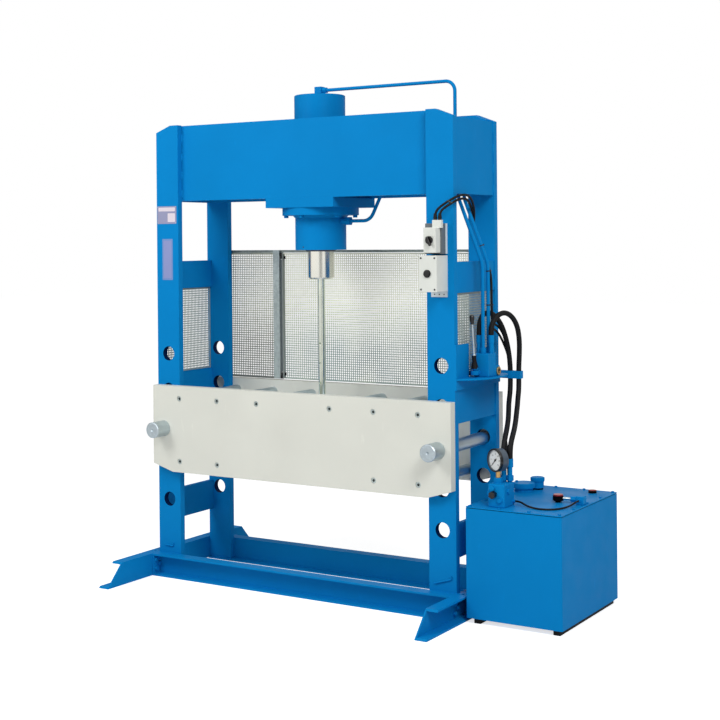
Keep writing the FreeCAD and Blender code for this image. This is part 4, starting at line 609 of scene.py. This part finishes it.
def lathe(build, profile, place, segments=32):
    """Closed ring or solid turned from (radius, height) points, moved by a matrix."""
    rings = []
    for radius, height in profile:
        count = segments if radius > 0 else 1
        angles = [2 * math.pi * k / segments for k in range(count)]
        rings.append([build.verts.new(place @ Vector((radius * math.cos(a), radius * math.sin(a), height)))
                      for a in angles])
    if profile[0][0] > 0:
        rings.append(rings[0])
    for near, far in zip(rings, rings[1:]):
        for k in range(segments):
            around = ((near, k), (near, k + 1), (far, k + 1), (far, k))
            corners = dict.fromkeys(ring[j % len(ring)] for ring, j in around)
            if len(corners) > 2:
                build.faces.new(list(corners))


def add_rod(build, radius, length, foot, turn=Matrix(), segments=32):
    """Plain round rod that stands on a point, turned by a matrix."""
    profile = ((0, 0), (radius, 0), (radius, length), (0, length))
    lathe(build, profile, Matrix.Translation(foot) @ turn, segments)


def pointing(direction):
    """Matrix that turns a height into a direction."""
    return direction.to_track_quat("Z", "Y").to_matrix().to_4x4()


# ---- perforated guards ----
HOLE_PITCH = 0.0129
HOLE_SIDE = 0.0080
SHEET = 0.0015
SHEET_RIM = 0.004
DEPTHS = (0.0, SHEET)
SQUARE = ((0, 0), (1, 0), (1, 1), (0, 1))
SQUARE_SIDES = tuple(zip(SQUARE, SQUARE[1:] + SQUARE[:1]))


def through_walls(build, square):
    """Walls through the sheet's thickness, along the four sides of a square."""
    for first, second in SQUARE_SIDES:
        build.faces.new([square[(*first, 0.0)], square[(*second, 0.0)],
                         square[(*second, SHEET)], square[(*first, SHEET)]])


def perforated(build, origin, across, out, width, height):
    """Upright sheet with rows of square holes, from its lower corner along two level directions."""
    columns = int((width - 2 * SHEET_RIM) // HOLE_PITCH)
    rows = int((height - 2 * SHEET_RIM) // HOLE_PITCH)
    left = (width - columns * HOLE_PITCH) / 2
    low = (height - rows * HOLE_PITCH) / 2
    web = (HOLE_PITCH - HOLE_SIDE) / 2

    def point(u, v, depth):
        return build.verts.new(origin + across * u + UP * v + out * depth)

    grid = {}
    for depth in DEPTHS:
        for i in range(columns + 1):
            for j in range(rows + 1):
                grid[i, j, depth] = point(left + i * HOLE_PITCH, low + j * HOLE_PITCH, depth)
    for i in range(columns):
        for j in range(rows):
            hole = {}
            for depth in DEPTHS:
                for a, b in SQUARE:
                    u = left + (i + a) * HOLE_PITCH + (web if a == 0 else -web)
                    v = low + (j + b) * HOLE_PITCH + (web if b == 0 else -web)
                    hole[a, b, depth] = point(u, v, depth)
                for (a, b), (c, d) in SQUARE_SIDES:
                    build.faces.new((grid[i + a, j + b, depth], grid[i + c, j + d, depth],
                                     hole[c, d, depth], hole[a, b, depth]))
            through_walls(build, hole)
    edges = ([(i, 0) for i in range(columns, -1, -1)], [(columns, j) for j in range(rows, -1, -1)],
             [(i, rows) for i in range(columns + 1)], [(0, j) for j in range(rows + 1)])
    outline = {}
    for depth in DEPTHS:
        for a, b in SQUARE:
            outline[a, b, depth] = point(a * width, b * height, depth)
        for (first, second), edge in zip(SQUARE_SIDES, edges):
            build.faces.new([outline[(*first, depth)], outline[(*second, depth)],
                             *(grid[i, j, depth] for i, j in edge)])
    through_walls(build, outline)


def rear_guard(node, low, high, material, body="frame"):
    """Perforated panel of the rear guard with its folded edges, in place of the plain panel."""
    build = bmesh.new()
    perforated(build, Vector((low.x, high.y, low.z)), RIGHT, -BACK, high.x - low.x, high.z - low.z)
    add_frame(build, low, Vector((high.x, high.y - SHEET, high.z)), 0, SHEET)
    piece(node + "_sheet", build, material, body, [node])


DOOR_X = (-0.422, 0.8)
DOOR_Z = (1.055, 1.761)
HINGE_AXIS = (-0.434, 0.255)
KNUCKLE_Z = (1.0703, 1.7277)
KNUCKLE_H = 0.018
KNUCKLE_R = 0.007
HINGE_PIN_R = 0.0034
HINGE_PIN_H = 0.033
LEAF_Y = (0.2565, 0.2598)
LEAF_REACH = 0.012
LEAF_INSET = 0.001
# Place of the dark strip that stands in for the shadow in the door's hinge gap.
GAP_SHADOW_X = (-0.442, -0.4245)
GAP_SHADOW_Y = (0.2535, 0.2565)
GAP_SHADOW_CLEARANCE = 0.002


def rear_guards():
    """Fixed panel and hinged panel."""
    rear_guard("fixed_guard", *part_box("fixed_guard"), fixed_zinc)
    low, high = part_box("guard_door")
    low.x, high.x = at(DOOR_X[0], 0, 0).x, at(DOOR_X[1], 0, 0).x
    low.z, high.z = DOOR_Z
    rear_guard("guard_door", low, high, door_zinc, "guard_door_body")


def door_hinges():
    """Knuckles, leaves and pins of the hinged panel."""
    build = bmesh.new()
    x, y = HINGE_AXIS
    for z, pin_z in zip(KNUCKLE_Z, (DOOR_Z[0], KNUCKLE_Z[1])):
        add_rod(build, KNUCKLE_R, KNUCKLE_H, at(x, y, z), segments=24)
        add_rod(build, HINGE_PIN_R, HINGE_PIN_H, at(x, y, pin_z), segments=16)
        add_block(build, at(x, LEAF_Y[0], z + LEAF_INSET),
                  at(DOOR_X[0] + LEAF_REACH, LEAF_Y[1], z + KNUCKLE_H - LEAF_INSET))
    piece("guard_door_hinges", build, black_steel, "guard_door_body", ["guard_door"])


def door_gap_shadow():
    """Dark strip on the post that closes the gap between the two hinges: painted shadow in place of the
    shade in that gap.
    """
    build = bmesh.new()
    add_block(build, at(GAP_SHADOW_X[0], GAP_SHADOW_Y[0], KNUCKLE_Z[0] + KNUCKLE_H + GAP_SHADOW_CLEARANCE),
              at(GAP_SHADOW_X[1], GAP_SHADOW_Y[1], KNUCKLE_Z[1] - GAP_SHADOW_CLEARANCE))
    piece("door_gap_shadow", build, dark_paint)


SIDE_RIM_DEPTH = 0.015


def side_guards():
    """Perforated guards of both columns and their painted rims, in place of plain trays."""
    low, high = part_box("side_guards")
    for name, face, inward in (("left_side_guard", low.x, 1), ("right_side_guard", high.x, -1)):
        build = bmesh.new()
        corner = Vector((face, low.y, low.z))
        perforated(build, corner, BACK, RIGHT * inward, high.y - low.y, high.z - low.z)
        piece(name, build, sheet_zinc, replaced=["side_guards"])
        build = bmesh.new()
        near, far = sorted((face + inward * SHEET, face + inward * SIDE_RIM_DEPTH))
        add_frame(build, Vector((near, low.y, low.z)), Vector((far, high.y, high.z)), 1, SHEET)
        piece(name + "_rim", build, blue_paint, replaced=["side_guards"])


# ---- cords ----
HOSE_DIAMETER = 0.026
CABLE_DIAMETER = 0.012
PILOT_DIAMETER = 0.009

RETURN_HOSE = [
    (0.958, -0.042, 1.358), (0.958, -0.042, 1.396), (0.957, -0.029, 1.432), (0.961, -0.002, 1.459),
    (0.973, 0.034, 1.467), (0.985, 0.070, 1.452), (0.995, 0.104, 1.422), (1.001, 0.136, 1.382),
    (1.007, 0.164, 1.322), (1.012, 0.182, 1.255), (1.015, 0.190, 1.185), (1.015, 0.190, 1.110),
    (1.018, 0.180, 1.062), (1.024, 0.157, 1.028), (1.036, 0.124, 1.000), (1.058, 0.076, 0.972),
    (1.084, 0.016, 0.940), (1.107, -0.046, 0.908), (1.124, -0.098, 0.882), (1.133, -0.131, 0.854),
    (1.136, -0.149, 0.816), (1.136, -0.149, 0.777)]
PRESSURE_HOSE = [
    (1.016, -0.027, 1.358), (1.016, -0.027, 1.394), (1.022, -0.012, 1.428), (1.032, 0.016, 1.454),
    (1.044, 0.052, 1.466), (1.057, 0.090, 1.458), (1.069, 0.124, 1.430), (1.076, 0.152, 1.386),
    (1.075, 0.173, 1.322), (1.068, 0.186, 1.252), (1.062, 0.190, 1.182), (1.062, 0.190, 1.110),
    (1.065, 0.180, 1.062), (1.071, 0.157, 1.028), (1.084, 0.124, 1.000), (1.102, 0.076, 0.972),
    (1.125, 0.016, 0.940), (1.147, -0.046, 0.908), (1.161, -0.096, 0.882), (1.167, -0.128, 0.854),
    (1.169, -0.144, 0.816), (1.169, -0.144, 0.777)]
MOTOR_CABLE = [
    (0.862, -0.310, 1.934), (0.862, -0.310, 1.954), (0.871, -0.309, 1.975), (0.890, -0.304, 1.992),
    (0.911, -0.294, 2.008), (0.931, -0.279, 2.023), (0.948, -0.257, 2.037), (0.955, -0.224, 2.045),
    (0.952, -0.178, 2.049), (0.943, -0.118, 2.046), (0.933, -0.064, 2.028), (0.924, -0.030, 2.004),
    (0.915, -0.002, 1.980), (0.908, 0.013, 1.957), (0.900, 0.024, 1.931), (0.896, 0.027, 1.903),
    (0.910, 0.024, 1.866), (0.943, 0.017, 1.800), (0.967, 0.017, 1.738), (0.984, 0.018, 1.690),
    (0.997, 0.015, 1.650), (1.002, 0.009, 1.600), (1.002, 0.009, 1.522), (1.001, 0.013, 1.446),
    (0.992, 0.038, 1.402), (0.980, 0.066, 1.382), (0.971, 0.098, 1.378), (0.967, 0.134, 1.366),
    (0.971, 0.164, 1.342), (0.978, 0.190, 1.304), (0.987, 0.212, 1.256), (0.995, 0.227, 1.200),
    (0.997, 0.231, 1.150), (0.997, 0.231, 1.100), (0.998, 0.224, 1.048), (1.003, 0.207, 1.004),
    (1.015, 0.173, 0.970), (1.038, 0.123, 0.942), (1.065, 0.060, 0.912), (1.088, -0.001, 0.882),
    (1.102, -0.046, 0.854), (1.109, -0.068, 0.818), (1.110, -0.078, 0.764), (1.111, -0.076, 0.696),
    (1.110, -0.076, 0.640), (1.110, -0.076, 0.590)]
CONTROL_CABLE = [
    (0.887, -0.310, 1.934), (0.887, -0.310, 1.953), (0.895, -0.308, 1.972), (0.912, -0.301, 1.987),
    (0.929, -0.288, 2.001), (0.942, -0.270, 2.013), (0.949, -0.242, 2.023), (0.949, -0.206, 2.029),
    (0.941, -0.156, 2.031), (0.930, -0.102, 2.026), (0.919, -0.060, 2.012), (0.908, -0.027, 1.997),
    (0.899, 0.003, 1.985), (0.891, 0.025, 1.966), (0.887, 0.037, 1.936), (0.888, 0.041, 1.900),
    (0.905, 0.040, 1.858), (0.938, 0.033, 1.796), (0.960, 0.032, 1.738), (0.975, 0.032, 1.690),
    (0.988, 0.029, 1.650), (0.995, 0.023, 1.600), (0.995, 0.023, 1.524), (0.994, 0.029, 1.466),
    (0.988, 0.050, 1.429), (0.976, 0.080, 1.408), (0.972, 0.112, 1.402), (0.978, 0.146, 1.384),
    (0.987, 0.174, 1.346), (0.995, 0.195, 1.298), (1.001, 0.209, 1.240), (1.004, 0.217, 1.180),
    (1.004, 0.217, 1.108), (1.004, 0.209, 1.056), (1.009, 0.190, 1.018), (1.018, 0.160, 0.990),
    (1.040, 0.112, 0.962), (1.065, 0.050, 0.932), (1.089, -0.014, 0.900), (1.108, -0.066, 0.872),
    (1.123, -0.090, 0.844), (1.133, -0.096, 0.798), (1.136, -0.098, 0.728), (1.137, -0.096, 0.656),
    (1.137, -0.096, 0.590)]
PILOT_HOSE = [
    (1.197, -0.149, 0.576), (1.222, -0.149, 0.576), (1.255, -0.166, 0.566), (1.303, -0.190, 0.5608),
    (1.353, -0.204, 0.5612), (1.401, -0.187, 0.5608), (1.434, -0.140, 0.5612), (1.456, -0.084, 0.568),
    (1.462, -0.038, 0.578), (1.462, -0.010, 0.578)]


CORDS = (("return_hose_line", RETURN_HOSE, 1.10, HOSE_DIAMETER, hose_rubber),
         ("pressure_hose_line", PRESSURE_HOSE, 1.09, HOSE_DIAMETER, hose_rubber),
         ("motor_cable_line", MOTOR_CABLE, 2.13, CABLE_DIAMETER, soft_rubber),
         ("control_cable_line", CONTROL_CABLE, 2.10, CABLE_DIAMETER, soft_rubber),
         ("pilot_hose_line", PILOT_HOSE, 0.41, PILOT_DIAMETER, soft_rubber))


def add_cord(name, route, length, diameter, material):
    """Smooth round cord along its route, in place of its plain tube."""
    curve = bpy.data.curves.new(name, "CURVE")
    curve.dimensions = "3D"
    curve.bevel_depth = diameter / 2
    curve.bevel_resolution = 6
    curve.use_fill_caps = True
    spline = curve.splines.new("NURBS")
    spline.points.add(len(route) - 1)
    for point, place in zip(spline.points, route):
        point.co = (*at(*place), 1)
    spline.order_u = 3
    spline.use_endpoint_u = True
    spline.resolution_u = 10
    curve.materials.append(material)
    made = new_object(name, curve)
    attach(made, "frame")
    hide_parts(name.removesuffix("_line"))


def cords():
    """Two large hoses, two cables and the thin hose on the lid."""
    for cord in CORDS:
        add_cord(*cord)


RELIEF_LENGTH = 0.024
RELIEF_RIBS = 4
RELIEF_R = (0.0098, 0.0072)
RELIEF_BORE_R = CABLE_DIAMETER / 2 + 0.0002
RIB_R = 0.0004
GROOVE_R = 0.0005
GROOVE_SHARE = 0.35


def strain_reliefs():
    """Ribbed tapered sleeves where the cables leave their glands."""
    wide, narrow = RELIEF_R
    profile = [(RELIEF_BORE_R, 0), (wide, 0)]
    for k in range(RELIEF_RIBS):
        share = (k + 0.5) / RELIEF_RIBS
        radius = wide + (narrow - wide) * share
        profile.append((radius + RIB_R, RELIEF_LENGTH * share))
        profile.append((radius - GROOVE_R, RELIEF_LENGTH * (share + GROOVE_SHARE / RELIEF_RIBS)))
    profile += [(narrow - GROOVE_R, RELIEF_LENGTH), (RELIEF_BORE_R, RELIEF_LENGTH)]
    build = bmesh.new()
    for route in (MOTOR_CABLE, CONTROL_CABLE):
        for end in (route[0], route[-1]):
            lathe(build, profile, Matrix.Translation(at(*end)), 24)
    piece("strain_reliefs", build, soft_rubber, smooth=True)


TIE_WIDTH = 0.005
TIE_T = 0.0014
TIE_STEPS = 24
TIE_HEAD = Vector((0.003, 0.002, 0.0036))
TIE_HEAD_RISE = 0.0012
TIES = ((0.0063, (0.9205, -0.2866, 2.0155), (0.9355, -0.2792, 2.0068), (0.75, 0.55, 0.45)),
        (0.0095, (0.9525, 0.0, 1.8), (0.939, 0.0305, 1.8), (0.38, 0.0, -1.0)),
        (0.0095, (0.988, 0.0, 1.673), (0.9815, 0.028, 1.673), (0.1, 0.0, -1.0)),
        (0.0095, (0.988, 0.0, 1.505), (0.9965, 0.019, 1.505), (0.0, 0.0, -1.0)))


def tie(build, inner, first, second, along):
    """Flat band with its small head: inner radius, centres of the outermost runs, and their direction."""
    across = (second - first).normalized()
    axis = (along - across * along.dot(across)).normalized()
    side = axis.cross(across)
    middle = (first + second) / 2
    reach = (second - first).length / 2
    section = ((inner, -0.5), (inner + TIE_T, -0.5), (inner + TIE_T, 0.5), (inner, 0.5))
    rings = []
    for k in range(TIE_STEPS):
        angle = 2 * math.pi * k / TIE_STEPS - math.pi / 2
        direction = across * math.cos(angle) + side * math.sin(angle)
        centre = middle + across * (reach if k < TIE_STEPS / 2 else -reach)
        rings.append([build.verts.new(centre + direction * radius + axis * offset * TIE_WIDTH)
                      for radius, offset in section])
    for near, far in zip(rings, rings[1:] + rings[:1]):
        bridge(build, near, far)
    place = Matrix((across, side, axis)).transposed().to_4x4()
    place.translation = middle + side * (inner + TIE_T + TIE_HEAD_RISE)
    add_block(build, -TIE_HEAD, TIE_HEAD, place)


def cable_ties():
    """Clip on the arch of the cables, and ties that hold the cables to a pipe."""
    build = bmesh.new()
    for inner, first, second, along in TIES:
        tie(build, inner, at(*first), at(*second), Vector(along))
    piece("cable_ties", build, black_plastic)


# ---- gauge ----
GAUGE_CENTRE = (1.1285, -0.192, 0.774)
GAUGE_TURN = math.radians(27)
GAUGE_FRONT = 0.024
BEZEL = ((0.0551, -0.013), (0.0563, -0.013), (0.0566, -0.012), (0.0566, -0.001), (0.0556, 0.0012),
         (0.0502, 0.0014), (0.0491, 0.0004), (0.0491, 0.0001), (0.0551, 0.0001))
DIAL_DEPTH = 0.008
DIAL_R = 0.0486
DIAL_BORE_R = 0.0032
DIAL_T = 0.0005
PRINT_RISE = 0.0001
SCALE_START = 225
SWEEP = 270
MAIN_TICKS = 6
FINE_TICKS = 30
MAIN_TICK = (0.037, 0.0007)
FINE_TICK = (0.041, 0.0003)
TICK_END_R = 0.0455
NUMBER_STEP = 10
NUMBER_SIZE = 0.0105
NUMBER_R = 0.0295


def gauge_place(forward):
    """Matrix from the dial's plane (right, up, towards the reader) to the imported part."""
    out = Vector((-math.sin(GAUGE_TURN), -math.cos(GAUGE_TURN), 0))
    right = Vector((math.cos(GAUGE_TURN), -math.sin(GAUGE_TURN), 0))
    place = Matrix((right, UP, out)).transposed().to_4x4()
    place.translation = at(*GAUGE_CENTRE) + out * forward
    return place


def scale_direction(share):
    """Direction from the dial's centre for a share of the scale."""
    angle = math.radians(SCALE_START - SWEEP * share)
    return Vector((math.cos(angle), math.sin(angle), 0))


def dial_ticks(place):
    """Main and fine lines of the scale, each kind with its inner radius and its half width."""
    lift = UP * PRINT_RISE
    build = bmesh.new()
    for k in range(FINE_TICKS + 1):
        inner, half = FINE_TICK if k % (FINE_TICKS // MAIN_TICKS) else MAIN_TICK
        along = scale_direction(k / FINE_TICKS)
        side = Vector((-along.y, along.x, 0)) * half
        start, end = along * inner + lift, along * TICK_END_R + lift
        corners = (start - side, end - side, end + side, start + side)
        build.faces.new([build.verts.new(place @ corner) for corner in corners])
    piece("gauge_scale", build, black_plastic)


def dial_numbers(place):
    """Plain numbers at the main lines."""
    for k in range(MAIN_TICKS + 1):
        text = bpy.data.curves.new("number", "FONT")
        text.body = str(k * NUMBER_STEP)
        text.size = NUMBER_SIZE
        text.align_x = "CENTER"
        text.align_y = "CENTER"
        text.materials.append(black_plastic)
        number = new_object(f"dial_number_{k}", text)
        offset = scale_direction(k / MAIN_TICKS) * NUMBER_R + UP * PRINT_RISE
        number.matrix_world = place @ Matrix.Translation(offset)
        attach(number, "frame")


def gauge_details():
    """Black bezel, and white dial with its scale and numbers."""
    build = bmesh.new()
    lathe(build, BEZEL, gauge_place(GAUGE_FRONT))
    piece("gauge_ring", build, black_plastic)
    back = GAUGE_FRONT - DIAL_DEPTH + PRINT_RISE
    build = bmesh.new()
    section = ((DIAL_BORE_R, 0), (DIAL_R, 0), (DIAL_R, DIAL_T), (DIAL_BORE_R, DIAL_T))
    lathe(build, section, gauge_place(back), 48)
    white = plastic("dial_white", linear(238, 240, 238), 0.3, 300.0, 0.6)
    piece("gauge_dial", build, white)
    face = gauge_place(back + DIAL_T)
    dial_ticks(face)
    dial_numbers(face)


# ---- plates, welds and small hardware ----
UPRIGHT_FACE = -0.242
PLATE_T = 0.001
PLATE_CORNER_R = 0.004
RIVET = ((0, 0), (0.0026, 0), (0.0026, 0.0004), (0.00156, 0.0012), (0, 0.0015))
RIVETS_X = (-0.9165, -0.7915)
RIVETS_Z = (1.9345, 2.0225)


def field(name, x, z, proud, material):
    """Flat plate on the front of an upright: its width, its height and how far its face stands out."""
    radius = PLATE_CORNER_R
    low, high = at(x[0], UPRIGHT_FACE - proud, z[0]), at(x[1], UPRIGHT_FACE - proud + PLATE_T, z[1])
    left, right, bottom, top = low.x + radius, high.x - radius, low.z + radius, high.z - radius
    outline = []
    for corner, (u, v) in enumerate(((right, top), (left, top), (left, bottom), (right, bottom))):
        for step in (0, 30, 60, 90):
            angle = math.radians(90 * corner + step)
            outline.append((u + radius * math.cos(angle), v + radius * math.sin(angle)))
    build = bmesh.new()
    loft(build, [[build.verts.new((u, y, v)) for u, v in outline] for y in (low.y, high.y)])
    piece(name, build, material)


def plates():
    """Bare metal plate with rivets and a bare printed strip on the left upright."""
    sheet = paint("plate_sheet", linear(150, 152, 184), 0.35, 0.0005, 1.1)
    pale = paint("plate_pale", linear(226, 216, 226), 0.35, 0.0003, 1.05)
    strip = paint("strip_sheet", linear(116, 146, 200), 0.35, 0.0005, 1.1)
    strip_pale = paint("strip_pale", linear(140, 150, 200), 0.35, 0.0003, 1.05)
    field("rating_plate", (-0.921, -0.787), (1.93, 2.027), 0.001, sheet)
    field("rating_plate_band", (-0.912, -0.796), (1.999, 2.02), 0.0012, pale)
    field("rating_plate_panel", (-0.848, -0.796), (1.94, 1.988), 0.0012, pale)
    field("printed_strip", (-0.887, -0.815), (1.621, 1.847), 0.0008, strip)
    field("printed_strip_panel", (-0.879, -0.823), (1.631, 1.837), 0.001, strip_pale)
    build = bmesh.new()
    for x in RIVETS_X:
        for z in RIVETS_Z:
            lathe(build, RIVET, Matrix.Translation(at(x, UPRIGHT_FACE - PLATE_T, z)) @ TO_FRONT, 12)
    piece("plate_rivets", build, zinc, smooth=True)


BEAD_STEP = 0.003
BEAD_ANGLES = [math.radians(45 * k) for k in range(8)]
BEAD_RIPPLE = 0.84
BEAD_TIP = 0.45
BEAD_TAPER = 4
WEB_SEAM = (0.9205, 0.2068)
WEB_SEAMS_Z = ((2.065, 2.42), (1.58, 1.712), (0.945, 1.09), (0.295, 0.44))
WEB_STITCH = (0.045, 0.05, 0.004)
BEAM_SEAM = (0.7748, 0.2072)
BEAM_SEAM_Z = (2.07, 2.42)
BEAM_STITCH = (0.045, 0.055, 0.006)


def bead(build, start, end, radius):
    """Rippled weld bead with rounded ends."""
    along = (end - start).normalized()
    side = along.orthogonal().normalized()
    other = along.cross(side)
    count = max(3, int((end - start).length / BEAD_STEP))
    rings = []
    for k in range(count + 1):
        share = k / count
        swell = radius * min(1.0, BEAD_TIP + BEAD_TAPER * min(share, 1 - share))
        if k % 2 == 0:
            swell *= BEAD_RIPPLE
        centre = start + (end - start) * share
        rings.append([build.verts.new(centre + (side * math.cos(a) + other * math.sin(a)) * swell)
                      for a in BEAD_ANGLES])
    loft(build, rings)


def stitches(build, foot, top, length, gap, radius):
    """Row of beads between two points, with their length, gap and radius."""
    whole = (top - foot).length
    count = max(1, int((whole + gap) // (length + gap)))
    step = (whole - length) / max(1, count - 1)
    along = (top - foot) / whole
    for k in range(count):
        start = foot + along * (k * step)
        bead(build, start, start + along * length, radius)


def welds():
    """Stitch welds of the webs and of the beam plates on the uprights."""
    build = bmesh.new()
    for side in (-1, 1):
        for rank in (-1, 1):
            x, y = side * WEB_SEAM[0], rank * WEB_SEAM[1]
            for low, high in WEB_SEAMS_Z:
                stitches(build, at(x, y, low), at(x, y, high), *WEB_STITCH)
            x, y = side * BEAM_SEAM[0], rank * BEAM_SEAM[1]
            stitches(build, at(x, y, BEAM_SEAM_Z[0]), at(x, y, BEAM_SEAM_Z[1]), *BEAM_STITCH)
    piece("frame_welds", build, blue_paint, smooth=True)


HOOKS = (((-0.877, 0.163), (-0.827, 0.160), 0.178), ((0.807, 0.156), (0.897, 0.184), 0.200))
HOOK_R = 0.004


def foot_hooks():
    """Short bent rods on the feet of both front uprights."""
    build = bmesh.new()
    y = UPRIGHT_FACE - HOOK_R
    for start, end, top in HOOKS:
        bar = [at(start[0], y, start[1]), at(end[0], y, end[1]), at(end[0], y, top)]
        for first, second in zip(bar, bar[1:]):
            along = second - first
            add_rod(build, HOOK_R, along.length, first, pointing(along), 12)
    piece("foot_hooks", build, blue_paint)


SET_HOLE_ANGLE = math.radians(-100.4)
SET_HOLE_Z = 1.797
SET_HOLE_DEPTH_R = 0.1342
# Size of the black disc that paints the shade inside the hole.
SET_HOLE_DISC_R = 0.0044
SET_HOLE_DISC_T = 0.001


def set_hole_shade():
    """Sunk black disc in the small hole near the mouth of the barrel: painted shade inside the hole."""
    out = Vector((math.cos(SET_HOLE_ANGLE), math.sin(SET_HOLE_ANGLE), 0))
    place = at(out.x * SET_HOLE_DEPTH_R, out.y * SET_HOLE_DEPTH_R, SET_HOLE_Z)
    build = bmesh.new()
    add_rod(build, SET_HOLE_DISC_R, SET_HOLE_DISC_T, place, pointing(out))
    piece("set_hole_shade", build, black_plastic)


SILL_EDGE_T = 0.006
SILL_EDGE_Y = (0.18, 0.2065, 0.242)
SILL_EDGE_X = (0.915, 0.775)


def sill_edge():
    """Inner bottom edge of the rear sill, in front of the uprights' feet and between them."""
    build = bmesh.new()
    for half, near, far in zip(SILL_EDGE_X, SILL_EDGE_Y, SILL_EDGE_Y[1:]):
        add_block(build, at(-half, near, 0), at(half, far, SILL_EDGE_T))
    piece("rear_sill_edge", build, blue_paint)


BREATHER = (1.111, 0.298)
KNURL_TEETH = 60
KNURL_R = (0.0351, 0.0362)
KNURL_Z = (0.6, 0.615)


def breather_knurl():
    """Knurled band of the breather."""
    outline = []
    for k in range(2 * KNURL_TEETH):
        radius, angle = KNURL_R[k % 2], math.pi * k / KNURL_TEETH
        outline.append((BREATHER[0] + radius * math.cos(angle), BREATHER[1] + radius * math.sin(angle)))
    build = bmesh.new()
    loft(build, [[build.verts.new(at(x, y, z)) for x, y in outline] for z in KNURL_Z])
    piece("breather_knurl", build, blue_paint)


CATCH_Y = (-0.064, -0.042)
CATCH_Z = (1.158, 1.18)
CATCH_T = 0.008
CATCH_ROUNDING = 0.0015


def guard_catch():
    """Black catch on the outer face of the right side guard."""
    low, high = at(0, CATCH_Y[0], CATCH_Z[0]), at(0, CATCH_Y[1], CATCH_Z[1])
    low.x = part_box("side_guards")[1].x
    high.x = low.x + CATCH_T
    build = bmesh.new()
    add_block(build, low, high)
    bmesh.ops.recalc_face_normals(build, faces=build.faces)
    bmesh.ops.bevel(build, geom=build.edges[:], offset=CATCH_ROUNDING, segments=2, affect="EDGES")
    piece("guard_catch", build, black_plastic)


STRIP_HOLES_X = (0.82, 0.846, 0.872)
STRIP_FACE = -0.246
STRIP_HOLE_Z = 1.565
STRIP_HOLE_R = 0.0032
DISC_T = 0.0006


def strip_holes():
    """Black discs on the mounting strip of the push-button box: painted shade in place of its holes."""
    build = bmesh.new()
    for x in STRIP_HOLES_X:
        add_rod(build, STRIP_HOLE_R, DISC_T, at(x, STRIP_FACE, STRIP_HOLE_Z), TO_FRONT, 16)
    piece("strip_holes", build, black_steel)


PORT = (1.0302, 0.018, 1.179)
PORT_PLUG_R = 0.0124


def port_plug():
    """Black plug in the free port of the hand valve."""
    build = bmesh.new()
    add_rod(build, PORT_PLUG_R, DISC_T, at(*PORT), TO_RIGHT)
    piece("port_plug", build, black_plastic)


SWITCH_CENTRE = (0.8505, 1.829)
SWITCH_FRAME_Y = (-0.3512, -0.3498)
SWITCH_FRAME_HALF = 0.0225
SWITCH_FRAME_WIDTH = 0.003


def switch_frame():
    """Raised square line round the rotary switch."""
    (x, z), (near, far), half = SWITCH_CENTRE, SWITCH_FRAME_Y, SWITCH_FRAME_HALF
    build = bmesh.new()
    add_frame(build, at(x - half, near, z - half), at(x + half, far, z + half), 0, SWITCH_FRAME_WIDTH)
    piece("switch_frame", build, box_plastic)


# ---- make everything ----
def corners(bounds):
    """Bounds as plain lists of numbers."""
    return [[float(value) for value in corner] for corner in bounds]


def main():
    """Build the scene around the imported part."""
    bpy.context.scene.view_settings.view_transform = "Standard"
    add_camera()
    cords()
    add_world()
    add_lamps()
    add_floor()
    dress_nodes()
    rear_guards()
    door_hinges()
    door_gap_shadow()
    side_guards()
    strain_reliefs()
    cable_ties()
    gauge_details()
    plates()
    welds()
    foot_hooks()
    sill_edge()
    set_hole_shade()
    breather_knurl()
    guard_catch()
    strip_holes()
    port_plug()
    switch_frame()


main()
